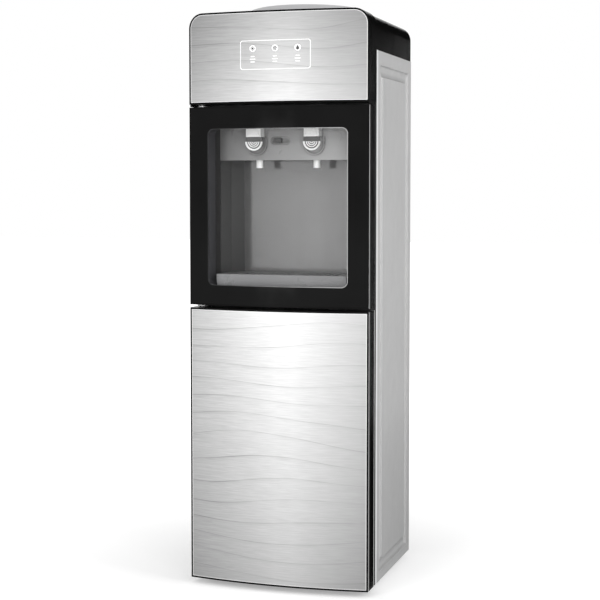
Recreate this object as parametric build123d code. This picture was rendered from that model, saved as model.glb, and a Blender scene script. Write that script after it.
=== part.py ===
from build123d import *
import math
import os

# Floor-standing hot and cold water dispenser. Millimetres, +Z up, front towards -Y.
# The origin lies on the floor, under the middle of the outline.

# Outline of the cabinet
WIDTH = 314.0
DEPTH = 322.0
BOW = 14.0
FOOT_H = 10.0
LOWER_DOOR_H = 465.5
GLASS_DOOR_H = 333.0
DOOR_GAP = 5.0
FASCIA_H = 151.5
CAP_H = 64.0
CORNER_R = 25.0
REAR_CLEAR = 16.0

# Doors and fascia
DOOR_T = 38.0
SEAL_GAP = 5.0
SEAL_CLEAR = 0.3
SHELL_T = 2.5
GLASS_T = 4.0
RIM = 3.0
DOOR_BACK_R = 12.0
TRIM_W = 9.0
TRIM_T = 1.2
TRIM_SETBACK = 2.0
WINDOW_SIDE = 35.0
WINDOW_BOTTOM = 34.5
WINDOW_TOP = 36.9
WINDOW_R = 10.0
WINDOW_LAND = 3.0
GASKET_W = 10.0
GASKET_EDGE = 16.0

# Hinges on the left
HINGE_INSET = 13.0
HINGE_SETBACK = 25.0
PIN_R = 3.0
PIN_PLAY = 0.05
PIN_LEN = 12.0
PIN_END_CLEAR = 2.0
BOSS_R = 8.0
BOSS_H = 28.0
PLATE_T = 2.5
PLATE_R = 9.0
LEG_T = 2.0
LEG_H = 24.0
LEG_EDGE = 1.5
NOTCH_H = 4.5
NOTCH_CLEAR = 4.0
PLATE_RISE = 0.8

# Sheet metal
SHEET_T = 1.0
FRAME_T = 4.0
FLANGE_W = 12.0
REAR_FLANGE_W = 16.0
GROOVE_FRONT = 23.0
GROOVE_REAR = 22.0
GROOVE_BOTTOM = 16.0
GROOVE_TOP = 23.0
GROOVE_W = 19.5
GROOVE_DEPTH = 3.0
GROOVE_R = 6.0
GROOVE_DRAFT = 1.5
PAN_WALL = 14.0
REAR_PANEL_RISE = 140.0
LINER_T = 2.0

# Feet
FOOT_R = 14.0
FOOT_STEM_R = 3.0
FOOT_STEM_H = 8.0
HOLE_CLEAR = 0.3
FOOT_INSET_X = 52.0
FOOT_INSET_FRONT = 45.0
FOOT_INSET_REAR = 40.0

# Alcove, tap panel and drip tray
ALCOVE_SIDE = 39.0
ALCOVE_MID_STEP = 8.0
ALCOVE_BACK_STEP = 14.0
ALCOVE_MID_DEPTH = 27.0
ALCOVE_DEPTH = 57.0
ALCOVE_RISE = 36.5
ALCOVE_LAP = 1.0
OPENING_DROP = 18.5
TAP_PANEL_H = 70.0
TAP_PANEL_T = 4.0
TAP_PANEL_PROUD = 1.0
PANEL_CLEAR = 0.4
TRAY_REACH = 28.0
TRAY_H = 15.0
TRAY_T = 2.0
TRAY_CLEAR = 3.5
TRAY_SEAT = 0.3
LEDGE_W = 2.0
GRILLE_T = 2.0
GRILLE_CLEAR = 0.4
GRILLE_SLOT_SIDE = 6.0
GRILLE_PITCH = 11.0
GRILLE_SLOT_W = 4.0
GRILLE_SLOT_MARGIN = 9.0

# Taps
TAP_X = 51.0
TAP_AXIS_BACK = 13.5
TAP_BLOCK_W = 26.0
TAP_BLOCK_REACH = 20.0
TAP_BLOCK_RISE = 39.0
TAP_BLOCK_CLEAR = 0.6
TAP_FLANGE_T = 4.0
TAP_FLANGE_DROP = 20.0
TAP_FLANGE_EXTRA = 4.0
TAP_WALL = 2.0
BARREL_R = 10.0
BARREL_RISE = 5.0
BARREL_H = 64.0
CHAMBER_R = 8.0
CHAMBER_RISE = 32.0
VALVE_R = 6.0
SEAT_T = 3.0
VALVE_H = 19.0
STEM_R = 3.5
STEM_PLAY = 0.05
PLUG_R = 4.6
PLUG_H = 4.0
STEM_FLANGE_R = 7.0
STEM_FLANGE_T = 2.0
LEVER_LIFT = 0.3
OUTLET_R = 3.0
INLET_R = 5.0
INLET_LEN = 12.0
INLET_RISE = 8.0
NOZZLE_R = 6.0
NOZZLE_BORE_R = 4.0
NOZZLE_FLANGE_R = 9.0
NOZZLE_FLANGE_T = 4.0
NOZZLE_DROP = 14.0
PIVOT_RISE = 47.0
PIVOT_AHEAD = 23.5
TRUNNION_R = 2.0
LEVER_BARREL_R = 3.5
LEVER_R = 15.0
LEVER_T = 2.5
LEVER_RIM_W = 2.2
LEVER_RIM_H = 1.5
LEVER_CENTRE_DROP = 16.0
LEVER_SIDE_CLEAR = 1.2
LEVER_FACE_CLEAR = 1.0
RIDGE_R = 3.5
RIDGE_W = 1.6
RIDGE_PITCH = 3.2
RIDGE_COUNT = 3
PRONG_X = 4.3
PRONG_W = 2.6
PRONG_T = 4.0
PRONG_TIP = 1.0
BEZEL_R = 18.0
BEZEL_T = 3.0
BEZEL_CENTRE_DROP = 20.5
BEZEL_OPEN_R = 15.9
SPRING_WIRE_R = 0.5
SPRING_R = 5.5
SPRING_TURNS = 4

# Lock slider between the taps
LOCK_X = -9.0
LOCK_RISE = 33.0
LOCK_LEN = 35.0
LOCK_H = 14.0
LOCK_RECESS = 1.5
LOCK_SLOT_MARGIN = 2.5
LOCK_TAB_W = 12.0
LOCK_TAB_PROUD = 1.0
LOCK_KEEPER_T = 1.5
LOCK_KEEPER_EXTRA = 2.5
LOCK_COVER_BEHIND = 9.0
LOCK_COVER_AHEAD = 1.0

# Storage compartment behind the lower door
STORE_SIDE = 27.0
STORE_BOTTOM = 35.0
STORE_TOP_DROP = 35.5
STORE_COMP_GAP = 22.0
STORE_REAR_GAP = 40.0
STORE_STEP_RISE = 205.0
LINER_FLANGE = 9.0

# Bottle collar, tank and foam on one upright axis
COLLAR_FRONT_GAP = 1.0
COLLAR_REAR_GAP = 14.0
COVER_T = 3.0
COVER_DROP = 2.0
COVER_INSET = 1.0
COLLAR_LAP = 6.0
COLLAR_SLOPE = 40.0
COLLAR_CREST_H = 20.0
COLLAR_SHOULDER_H = 14.4
COLLAR_LIP_DROP = 7.0
COLLAR_T = 2.5
COLLAR_SKIRT_H = 8.0
COLLAR_SKIRT_CLEAR = 0.5
NECK_R = 28.5
NECK_LEN = 25.0
NECK_DROP = 13.0
LID_DROP = 66.0
LID_T = 3.0
PROBE_R = 9.0
PROBE_BORE_R = 6.0
PROBE_H = 20.0
PROBE_TIP_H = 6.0
PROBE_PORT_R = 2.5
COLD_TANK_R = 70.0
TANK_T = 1.2
COIL_TUBE_R = 4.0
COIL_GAP = 0.4
COIL_TURNS = 5
COIL_MARGIN = 14.0
COIL_TAIL_GAP = 19.0
FOAM_CLEAR = 0.6
FOAM_T = 14.0
FOAM_FLOOR = 16.0
HOSE_HEADROOM = 12.0
STUB_R = 5.0
STUB_BORE_R = 3.5
COLD_STUB_SHIFT = (30.0, -36.0)
FEED_STUB_SHIFT = (-50.0, 24.0)
COLD_DRAIN_SHIFT = (40.0, 34.0)

# Hot tank behind the alcove
HOT_TANK_R = 44.0
HOT_TANK_H = 116.0
HOT_TANK_BACK = 130.0
HOT_TANK_DROP = 44.0
HOT_JACKET_T = 10.0
HOT_STUB_LEN = 18.0
HOT_DRAIN_SHIFT = (22.0, 18.0)

# Hoses and drains
HOSE_R = 5.5
HOSE_BORE_R = 4.0
HOSE_BEND = 9.0
FEED_LANE_X = -76.0
FEED_LOOP_DROP = 30.0
DRAIN_LANE_GAP = 26.0
DRAIN_SIDE = 27.0
DRAIN_PITCH = 35.0
DRAIN_RISE = 165.0
HOT_DRAIN_DROP = 30.0
SPOUT_R = 7.0
SPOUT_BORE_R = 4.5
SPOUT_FLANGE_R = 11.0
SPOUT_FLANGE_T = 2.0
SPOUT_IN = 15.0
SPOUT_OUT = 8.0
PLUG_CAP_R = 10.0
PLUG_CAP_WALL = 2.0
PLUG_CAP_CLEAR = 0.4
PLUG_RIB_COUNT = 12

# Refrigeration
COND_TUBE_R = 2.5
COND_WIRE_R = 0.75
COND_WIRE_GAP = 0.05
COND_SIDE = 49.0
COND_PITCH = 42.0
COND_PASSES = 10
COND_RISE = 230.0
COND_START_IN = 20.0
COND_WIRE_PITCH = 15.0
COND_WIRE_OVER = 12.0
BRACKET_W = 12.0
BRACKET_H = 14.0
BRACKET_IN = 16.0
BRACKET_CLEAR = 0.1
PIPE_R = 2.5
SUCTION_R = 4.0
CAPILLARY_R = 1.2
PIPE_BEND = 8.0
PIPE_LANE_GAP = 18.0
PIPE_SIDE = 21.0
PIPE_LANE_PITCH = 20.0
DRIER_R = 8.0
DRIER_H = 70.0
DRIER_RISE = 25.0
PIPE_HOLE_R = 5.0
COMP_REAR_GAP = 73.0
COMP_R = 54.0
COMP_H = 150.0
COMP_DOME = 40.0
COMP_PLATE_X = 130.0
COMP_PLATE_Y = 110.0
COMP_PLATE_T = 3.0
COMP_MOUNT_X = 54.0
COMP_MOUNT_Y = 44.0
GROMMET_R = 9.0
GROMMET_NECK_R = 5.0
GROMMET_H = 15.0
GROMMET_NECK_H = 7.0
COMP_STUB_X = 22.0
COMP_STUB_Y = 39.0
COMP_STUB_R = 4.5
COMP_STUB_TOP = 15.0
COVER_BOX_W = 44.0
COVER_BOX_T = 24.0
COVER_BOX_H = 50.0

# Electrical pieces
BOX_SIDE = 69.0
BOX_AHEAD = 10.0
BOX_COVER_GAP = 4.0
BOX_W = 92.0
BOX_D = 70.0
BOX_H = 76.0
BOX_LID_T = 2.5
BOX_WALL = 2.0
INLET_SIDE = 35.0
INLET_W = 30.0
INLET_H = 24.0
INLET_BODY_D = 24.0
INLET_FLANGE = 5.0
INLET_FLANGE_T = 2.0
INLET_SOCKET_W = 22.0
INLET_SOCKET_H = 15.0
INLET_SOCKET_D = 15.0
INLET_PIN_W = 2.0
INLET_PIN_H = 4.0
INLET_PIN_SHIFT = 2.0
INLET_PIN_DROP = 6.0
SWITCH_SIDE = 49.0
SWITCH_DROP = 56.0
SWITCH_PITCH = 24.0
SWITCH_WELL_W = 15.0
SWITCH_WELL_H = 25.0
SWITCH_WALL = 2.5
SWITCH_PROUD = 2.5
SWITCH_BODY_D = 18.0
SWITCH_CLEAR = 0.5
SWITCH_FLANGE = 4.0
SWITCH_FLANGE_R = 3.0
SWITCH_PIPE_GAP = 3.0
ROCKER_H = 20.0
ROCKER_BACK = 6.0
ROCKER_PROUD = 4.0
ROCKER_TILT = 10.0
ROCKER_PIN_R = 1.5
ROCKER_PIN_SOCKET = 1.5
ROCKER_PIN_REACH = 1.25
ROCKER_DISH = 1.0
INDICATOR_X = 39.0
INDICATOR_RISE = 89.5
INDICATOR_R = 5.5
INDICATOR_CLEAR = 0.3
BOARD_W = 122.0
BOARD_H = 48.0
BOARD_T = 1.6
BOARD_STANDOFF = 7.0
POST_R = 3.0
POST_MARGIN = 6.0
SCREW_R = 1.5
SCREW_HEAD_R = 3.5
SCREW_HEAD_T = 2.0
SCREW_SLOT_W = 1.0
SCREW_LEN = 6.0
SCREW_MARGIN = 20.0
SCREWS_PER_SIDE = 4

# Levels and planes that follow from the sizes above
HALF_W = WIDTH / 2
FRONT_Y = -DEPTH / 2
CORNER_Y = FRONT_Y + BOW
BOW_R = (HALF_W ** 2 + BOW ** 2) / (2 * BOW)
BOW_CENTRE_Y = FRONT_Y + BOW_R
DOOR_BACK_Y = CORNER_Y + DOOR_T
FRAME_Y = DOOR_BACK_Y + SEAL_GAP
PANEL_Y0 = FRAME_Y + FRAME_T
PANEL_Y1 = DEPTH / 2 - REAR_CLEAR
LOWER_Z0 = FOOT_H
LOWER_Z1 = LOWER_Z0 + LOWER_DOOR_H
GLASS_Z0 = LOWER_Z1 + DOOR_GAP
GLASS_Z1 = GLASS_Z0 + GLASS_DOOR_H
FASCIA_Z0 = GLASS_Z1 + DOOR_GAP
FASCIA_Z1 = FASCIA_Z0 + FASCIA_H
PANEL_Z1 = FASCIA_Z1 - CAP_H
COVER_Z1 = FASCIA_Z1 - COVER_DROP
HINGE_X = -HALF_W + HINGE_INSET
HINGE_Y = CORNER_Y + HINGE_SETBACK
INNER_X = HALF_W - SHEET_T
ALCOVE_HALF_W = HALF_W - ALCOVE_SIDE
ALCOVE_MID_HALF_W = ALCOVE_HALF_W - ALCOVE_MID_STEP
ALCOVE_BACK_HALF_W = ALCOVE_MID_HALF_W - ALCOVE_BACK_STEP
STORE_HALF_W = HALF_W - STORE_SIDE
COLLAR_R = (PANEL_Y1 - PANEL_Y0 - COLLAR_FRONT_GAP - COLLAR_REAR_GAP) / 2
COLLAR_HOLE_R = COLLAR_R - COLLAR_LAP
COLLAR_CREST_R = COLLAR_R - COLLAR_SLOPE
TANK_Y = PANEL_Y0 + COLLAR_FRONT_GAP + COLLAR_R
HOT_TANK_Y = PANEL_Y0 + HOT_TANK_BACK
COLD_DRAIN_X = HALF_W - DRAIN_SIDE
HOT_DRAIN_X = COLD_DRAIN_X - DRAIN_PITCH
DRAIN_LANE_Y = PANEL_Y1 - DRAIN_LANE_GAP
PIPE_LANE_Y = PANEL_Y1 - PIPE_LANE_GAP
COIL_TAIL_Y = PIPE_LANE_Y - COIL_TAIL_GAP
DISCHARGE_LANE_X = PIPE_SIDE - HALF_W
LIQUID_LANE_X = DISCHARGE_LANE_X + PIPE_LANE_PITCH
DRIER_X = LIQUID_LANE_X + PIPE_LANE_PITCH
COND_HALF_W = HALF_W - COND_SIDE
COND_START_X = COND_START_IN - COND_HALF_W
BRACKET_X = COND_HALF_W - BRACKET_IN
BOX_X = HALF_W - BOX_SIDE
COMP_X = BOX_X - BOX_W / 2 - BOX_COVER_GAP - COVER_BOX_T - COMP_R
COMP_Y = PANEL_Y1 - COMP_REAR_GAP
BOX_Y = COMP_Y - BOX_AHEAD
INLET_X = INLET_SIDE - HALF_W
SWITCH_X = HALF_W - SWITCH_SIDE
COLD_STUB = (COLD_STUB_SHIFT[0], TANK_Y + COLD_STUB_SHIFT[1])
FEED_STUB = (FEED_STUB_SHIFT[0], TANK_Y + FEED_STUB_SHIFT[1])
COLD_DRAIN_STUB = (COLD_DRAIN_SHIFT[0], TANK_Y + COLD_DRAIN_SHIFT[1])
HOT_DRAIN_STUB = (HOT_DRAIN_SHIFT[0], HOT_TANK_Y + HOT_DRAIN_SHIFT[1])
ALCOVE_Z0 = GLASS_Z0 + ALCOVE_RISE
OPENING_Z1 = GLASS_Z1 - OPENING_DROP
TAP_PANEL_Z0 = OPENING_Z1 - TAP_PANEL_H
ALCOVE_Z1 = TAP_PANEL_Z0 + ALCOVE_LAP
TAP_PANEL_Y0 = FRAME_Y - TAP_PANEL_PROUD
TAP_PANEL_Y1 = TAP_PANEL_Y0 + TAP_PANEL_T
TAP_Y = FRAME_Y + TAP_AXIS_BACK
TAP_FRONT_Y = FRAME_Y - TAP_BLOCK_REACH
TAP_BLOCK_Z0 = TAP_PANEL_Z0 + TAP_BLOCK_RISE
TAP_BLOCK_Z1 = GLASS_Z1 - WINDOW_TOP + WINDOW_LAND - TAP_BLOCK_CLEAR
BARREL_Z0 = TAP_PANEL_Z0 + BARREL_RISE
BARREL_Z1 = BARREL_Z0 + BARREL_H
CHAMBER_Z0 = BARREL_Z0 + CHAMBER_RISE
PIVOT_Y = TAP_Y - PIVOT_AHEAD
PIVOT_Z = TAP_PANEL_Z0 + PIVOT_RISE
STEM_FLANGE_Z = PIVOT_Z + PRONG_T / 2 + LEVER_LIFT
TAP_INLET_Z = BARREL_Z0 + SEAT_T + INLET_RISE
STORE_Z0 = LOWER_Z0 + STORE_BOTTOM
STORE_Z1 = LOWER_Z1 - STORE_TOP_DROP
FOAM_Z0 = TAP_INLET_Z + HOSE_R + HOSE_HEADROOM
TANK_Z0 = FOAM_Z0 + FOAM_FLOOR
LID_Z0 = COVER_Z1 - LID_DROP
COIL_R = COLD_TANK_R + COIL_GAP + COIL_TUBE_R
FOAM_BORE_R = COIL_R + COIL_TUBE_R + FOAM_CLEAR
FOAM_R = FOAM_BORE_R + FOAM_T
COIL_Z0 = TANK_Z0 + COIL_MARGIN
COIL_Z1 = LID_Z0 - COIL_MARGIN
HOT_Z1 = TAP_INLET_Z - HOT_TANK_DROP
HOT_Z0 = HOT_Z1 - HOT_TANK_H
DRAIN_Z = FOOT_H + DRAIN_RISE
COND_Y = DEPTH / 2 - 2 * COND_WIRE_R - COND_WIRE_GAP - COND_TUBE_R
COND_Z0 = FOOT_H + COND_RISE
COND_Z1 = COND_Z0 + (COND_PASSES - 1) * COND_PITCH
PAN_TOP = FOOT_H + SHEET_T
COMP_Z0 = PAN_TOP + GROMMET_H
COMP_Z1 = COMP_Z0 + COMP_PLATE_T + COMP_H
COMP_STUB_Z = COMP_Z1 + COMP_STUB_TOP
REAR_PANEL_Z0 = FOOT_H + REAR_PANEL_RISE
SWITCH_Z = PANEL_Z1 - SWITCH_DROP
INDICATOR_Z = FASCIA_Z0 + INDICATOR_RISE
INDICATOR_XS = (-INDICATOR_X, 0.0, INDICATOR_X)
BOARD_Z0 = INDICATOR_Z + POST_MARGIN * 2 - BOARD_H
PAST = 1.0


# Plain shapes

def block(x0, x1, y0, y1, z0, z1):
    """Box between two corners."""
    return Pos((x0 + x1) / 2, (y0 + y1) / 2, (z0 + z1) / 2) * Box(x1 - x0, y1 - y0, z1 - z0)


def rod(radius, start, end):
    """Round bar between two points."""
    run = Vector(*end) - Vector(*start)
    return extrude(Plane(origin=start, z_dir=run) * Circle(radius), amount=run.length)


def pipe(points, radius, bend, bore=0.0):
    """Round tube along straight runs with one bend radius."""
    path = FilletPolyline(*points, radius=bend)
    plane = Plane(origin=path @ 0, z_dir=path % 0)
    section = Circle(radius)
    if bore > 0:
        section = section - Circle(bore)
    return sweep(plane * section, path=path)


def front_view(sketch, y0, y1):
    """Extrude a sketch drawn in x and z from y0 back to y1."""
    plane = Plane(origin=(0, y1, 0), x_dir=(1, 0, 0), z_dir=(0, -1, 0))
    return extrude(plane * sketch, amount=y1 - y0)


def rectangle(x0, x1, z0, z1, radius=0.0):
    """Rectangle between two corners, rounded if a radius is given."""
    shape = RectangleRounded(x1 - x0, z1 - z0, radius) if radius else Rectangle(x1 - x0, z1 - z0)
    return Pos((x0 + x1) / 2, (z0 + z1) / 2) * shape


def round_topped(half_w, z0, z1, radius):
    """Rectangle with its two upper corners rounded."""
    diagonal = radius * (1 - math.sqrt(0.5))
    return make_face([
        Line((-half_w, z0), (half_w, z0)),
        Line((half_w, z0), (half_w, z1 - radius)),
        ThreePointArc((half_w, z1 - radius), (half_w - diagonal, z1 - diagonal), (half_w - radius, z1)),
        Line((half_w - radius, z1), (-half_w + radius, z1)),
        ThreePointArc((-half_w + radius, z1), (-half_w + diagonal, z1 - diagonal), (-half_w, z1 - radius)),
        Line((-half_w, z1 - radius), (-half_w, z0)),
    ])


def u_shape(x, z, radius, top):
    """Half disc below z with straight sides up to top."""
    half_disc = Pos(x, z) * Circle(radius) & rectangle(x - radius, x + radius, z - radius, z)
    return half_disc + rectangle(x - radius, x + radius, z, top)


def ring_frame(half_w, z0, z1, width, y0, y1):
    """Flat rectangular ring, width measured inwards."""
    outer = rectangle(-half_w, half_w, z0, z1)
    inner = rectangle(-half_w + width, half_w - width, z0 + width, z1 - width)
    return front_view(outer - inner, y0, y1)


def mirrored(shape):
    """The same piece on the other side of the middle plane."""
    return mirror(shape, about=Plane.YZ)


def group(pieces):
    """Separate solids kept together as one node."""
    return Compound([solid for piece in pieces for solid in piece.solids()])


# The bowed front

def bow_y(x, inset):
    """Front surface at x, pushed back by inset."""
    return BOW_CENTRE_Y - math.sqrt((BOW_R - inset) ** 2 - x ** 2)


def bow_arc(half_w, inset):
    """Arc of the front between two sides."""
    edge_y = bow_y(half_w, inset)
    return ThreePointArc((-half_w, edge_y), (0, bow_y(0, inset)), (half_w, edge_y))


def bowed_sheet(half_w, inset0, inset1, z0, z1):
    """Curved sheet between two offsets of the front."""
    outline = [
        bow_arc(half_w, inset0),
        Line((half_w, bow_y(half_w, inset0)), (half_w, bow_y(half_w, inset1))),
        bow_arc(half_w, inset1),
        Line((-half_w, bow_y(half_w, inset1)), (-half_w, bow_y(half_w, inset0))),
    ]
    return Pos(0, 0, z0) * extrude(make_face(outline), amount=z1 - z0)


def bowed_block(half_w, inset, back_y, corner_r, z0, z1):
    """Bowed front, flat back and a rounded corner at the back on the hinge side."""
    front = bow_y(half_w, inset)
    diagonal = corner_r * (1 - math.sqrt(0.5))
    outline = [
        bow_arc(half_w, inset),
        Line((half_w, front), (half_w, back_y)),
        Line((half_w, back_y), (-half_w + corner_r, back_y)),
        ThreePointArc(
            (-half_w + corner_r, back_y),
            (-half_w + diagonal, back_y - diagonal),
            (-half_w, back_y - corner_r),
        ),
        Line((-half_w, back_y - corner_r), (-half_w, front)),
    ]
    return Pos(0, 0, z0) * extrude(make_face(outline), amount=z1 - z0)


# Wound tubes

def biarc(start, start_dir, end, end_dir):
    """Two tangent arcs from one point and direction to another."""
    chord = end - start
    both = start_dir + end_dir
    spread = 2 * (1 - start_dir.dot(end_dir))
    along = chord.dot(both)
    reach = (math.sqrt(along ** 2 + spread * chord.dot(chord)) - along) / spread
    first_corner = start + start_dir * reach
    last_corner = end - end_dir * reach
    middle = (first_corner + last_corner) * 0.5
    return [
        TangentArc(start, middle, tangent=start_dir),
        TangentArc(middle, end, tangent=last_corner - first_corner),
    ]


def helix_edges(centre, radius, z0, z1, quarters, first_quarter):
    """Quarter-turn biarcs that climb from z0 to z1, level at both ends."""
    slope = (z1 - z0) / (quarters * math.pi / 2 * radius)
    edges = []
    for step in range(quarters + 1):
        angle = (first_quarter + step) * math.pi / 2
        level = step in (0, quarters)
        point = Vector(
            centre[0] + radius * math.cos(angle),
            centre[1] + radius * math.sin(angle),
            z0 + (z1 - z0) * step / quarters,
        )
        heading = Vector(-math.sin(angle), math.cos(angle), 0 if level else slope).normalized()
        if step:
            edges += biarc(last_point, last_heading, point, heading)
        last_point, last_heading = point, heading
    return edges


def wound_tube(edges, wire_r, name, turns):
    """Sweep a round wire along the edges and print the least gap between its turns."""
    path = Wire(edges)
    per_turn = 24
    count = round(turns * per_turn)
    points = [path @ (step / count) for step in range(count + 1)]
    near = min(
        (points[later] - points[first]).length
        for first in range(count + 1)
        for later in range(first + per_turn // 2, count + 1)
    )
    print(f"{name}: least gap between turns {near - 2 * wire_r:.2f} mm")
    return sweep(Plane(origin=path @ 0, z_dir=path % 0) * Circle(wire_r), path=path)


# Cabinet shell

def groove_slab(x0, x1, grow, y0, y1, z0, z1):
    """Drafted slab between two planes, wider at the outer one."""
    def outline(x, extra):
        plane = Plane(origin=(x, (y0 + y1) / 2, (z0 + z1) / 2), x_dir=(0, 1, 0), z_dir=(1, 0, 0))
        return plane * RectangleRounded(y1 - y0 + 2 * extra, z1 - z0 + 2 * extra, GROOVE_R)
    return loft([outline(x0, 0), outline(x1, grow)])


def groove_ring(face_x, floor_x, widen):
    """The pressed band of the side panel, cut from face_x in to floor_x."""
    y0 = PANEL_Y0 + GROOVE_FRONT
    y1 = PANEL_Y1 - GROOVE_REAR
    z0 = LOWER_Z0 + GROOVE_BOTTOM
    z1 = PANEL_Z1 - GROOVE_TOP
    outer_in = GROOVE_DRAFT - widen
    outer = groove_slab(
        floor_x, face_x, GROOVE_DRAFT, y0 + outer_in, y1 - outer_in, z0 + outer_in, z1 - outer_in
    )
    inner_in = GROOVE_W - GROOVE_DRAFT + widen
    inner = groove_slab(
        floor_x, face_x, -GROOVE_DRAFT, y0 + inner_in, y1 - inner_in, z0 + inner_in, z1 - inner_in
    )
    return outer - inner


def side_panel():
    """Right side panel: pressed sheet with a recessed band and two flanges."""
    floor_x = HALF_W - GROOVE_DEPTH
    skin = block(floor_x - SHEET_T, HALF_W, PANEL_Y0, PANEL_Y1, LOWER_Z0, PANEL_Z1)
    skin -= groove_ring(HALF_W, floor_x, 0)
    hollow = block(floor_x - SHEET_T, INNER_X, PANEL_Y0, PANEL_Y1, LOWER_Z0, PANEL_Z1)
    hollow -= groove_ring(INNER_X, floor_x - SHEET_T, SHEET_T)
    skin -= hollow
    skin += block(HALF_W - FLANGE_W, HALF_W, PANEL_Y0, PANEL_Y0 + SHEET_T, LOWER_Z0, PANEL_Z1)
    rear_y1 = PANEL_Y1 - SHEET_T
    skin += block(HALF_W - REAR_FLANGE_W, HALF_W, rear_y1 - SHEET_T, rear_y1, REAR_PANEL_Z0, PANEL_Z1)
    for x, y, z in screw_places():
        if x > 0:
            skin -= rod(SCREW_R + HOLE_CLEAR, (x, y - SCREW_LEN - PAST, z), (x, y, z))
    return skin


def screw_places():
    """Screws down both edges of the rear panel."""
    x = HALF_W - REAR_FLANGE_W / 2
    low = REAR_PANEL_Z0 + SCREW_MARGIN
    step = (PANEL_Z1 - SCREW_MARGIN - low) / (SCREWS_PER_SIDE - 1)
    return [(side * x, PANEL_Y1, low + step * row) for side in (-1, 1) for row in range(SCREWS_PER_SIDE)]


def rear_screws():
    pieces = []
    for x, y, z in screw_places():
        head = rod(SCREW_HEAD_R, (x, y, z), (x, y + SCREW_HEAD_T, z))
        slot = block(
            x - SCREW_HEAD_R, x + SCREW_HEAD_R, y + SCREW_HEAD_T / 2, y + SCREW_HEAD_T + PAST,
            z - SCREW_SLOT_W / 2, z + SCREW_SLOT_W / 2,
        )
        pieces.append(head - slot + rod(SCREW_R, (x, y - SCREW_LEN, z), (x, y, z)))
    return group(pieces)


def foot_places():
    return [
        (x, y)
        for x in (-HALF_W + FOOT_INSET_X, HALF_W - FOOT_INSET_X)
        for y in (PANEL_Y0 + FOOT_INSET_FRONT, PANEL_Y1 - FOOT_INSET_REAR)
    ]


def feet():
    pieces = []
    for x, y in foot_places():
        pad = rod(FOOT_R, (x, y, 0), (x, y, FOOT_H))
        pad = chamfer(pad.edges().group_by(Axis.Z)[0], SHEET_T)
        pieces.append(pad + rod(FOOT_STEM_R, (x, y, FOOT_H), (x, y, FOOT_H + FOOT_STEM_H)))
    return group(pieces)


def base_pan():
    outer = block(-INNER_X, INNER_X, PANEL_Y0 + SHEET_T, PANEL_Y1, LOWER_Z0, LOWER_Z0 + PAN_WALL)
    hollow = block(
        -INNER_X + SHEET_T, INNER_X - SHEET_T,
        PANEL_Y0 + 2 * SHEET_T, PANEL_Y1 - SHEET_T,
        PAN_TOP, LOWER_Z0 + PAN_WALL + PAST,
    )
    pan = outer - hollow
    for x, y in foot_places():
        pan -= rod(FOOT_STEM_R + HOLE_CLEAR, (x, y, LOWER_Z0 - PAST), (x, y, PAN_TOP + PAST))
    return pan


def rear_panel():
    panel = block(-INNER_X, INNER_X, PANEL_Y1 - SHEET_T, PANEL_Y1, REAR_PANEL_Z0, PANEL_Z1)

    def cut(sketch):
        return front_view(sketch, PANEL_Y1 - SHEET_T - PAST, PANEL_Y1 + PAST)

    for x, _, z in screw_places():
        panel -= cut(Pos(x, z) * Circle(SCREW_R + HOLE_CLEAR))
    for x in (HOT_DRAIN_X, COLD_DRAIN_X):
        panel -= cut(Pos(x, DRAIN_Z) * Circle(SPOUT_R + HOLE_CLEAR))
    panel -= cut(Pos(DISCHARGE_LANE_X, COND_Z1) * Circle(PIPE_HOLE_R))
    panel -= cut(Pos(LIQUID_LANE_X, COND_Z0) * Circle(PIPE_HOLE_R))
    panel -= cut(Pos(SWITCH_X, SWITCH_Z) * Rectangle(*switch_body_size(SWITCH_CLEAR)))
    panel -= cut(Pos(INLET_X, DRAIN_Z) * Rectangle(INLET_W + 2 * SWITCH_CLEAR, INLET_H + 2 * SWITCH_CLEAR))
    return panel


def front_frame():
    """Painted frame that the doors close against."""
    frame = block(-HALF_W, HALF_W, FRAME_Y, PANEL_Y0, LOWER_Z0, FASCIA_Z0)
    frame -= block(-ALCOVE_HALF_W, ALCOVE_HALF_W, FRAME_Y - PAST, PANEL_Y0 + PAST, ALCOVE_Z0, OPENING_Z1)
    frame -= block(-STORE_HALF_W, STORE_HALF_W, FRAME_Y - PAST, PANEL_Y0 + PAST, STORE_Z0, STORE_Z1)
    return frame


def top_cover():
    half_w = HALF_W - COVER_INSET
    outer = front_view(round_topped(half_w, PANEL_Z1, COVER_Z1, CORNER_R), PANEL_Y0, PANEL_Y1)
    inner_profile = round_topped(half_w - COVER_T, PANEL_Z1 - PAST, COVER_Z1 - COVER_T, CORNER_R - COVER_T)
    cover = outer - front_view(inner_profile, PANEL_Y0 - PAST, PANEL_Y1 - COVER_T)
    return cover - rod(COLLAR_HOLE_R, (0, TANK_Y, PANEL_Z1), (0, TANK_Y, COVER_Z1 + PAST))


# Fascia

def behind_front(inset):
    """Everything behind the front pushed back by inset, wider than the fascia."""
    return bowed_block(HALF_W + CORNER_R, inset, PANEL_Y0 + PAST, SHELL_T, FASCIA_Z0 - PAST, FASCIA_Z1 + PAST)


def fascia_frame():
    z0, z1 = FASCIA_Z0, FASCIA_Z1
    shell = front_view(round_topped(HALF_W, z0, z1, CORNER_R), FRONT_Y - PAST, PANEL_Y0) & behind_front(0)
    shell -= fascia_pane(-PAST, GLASS_T)
    wall = GLASS_T + SHELL_T
    inner_profile = round_topped(HALF_W - SHELL_T, z0 + SHELL_T, z1 - SHELL_T, CORNER_R - SHELL_T)
    shell -= front_view(inner_profile, FRONT_Y - PAST, PANEL_Y0 + PAST) & behind_front(wall)
    for x in INDICATOR_XS:
        shell -= rod(INDICATOR_R + INDICATOR_CLEAR, (x, FRONT_Y, INDICATOR_Z), (x, board_y(), INDICATOR_Z))
    for x, z in post_places():
        shell += rod(POST_R, (x, bow_y(x, wall - SHELL_T / 2), z), (x, board_y(), z))
    return shell


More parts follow.
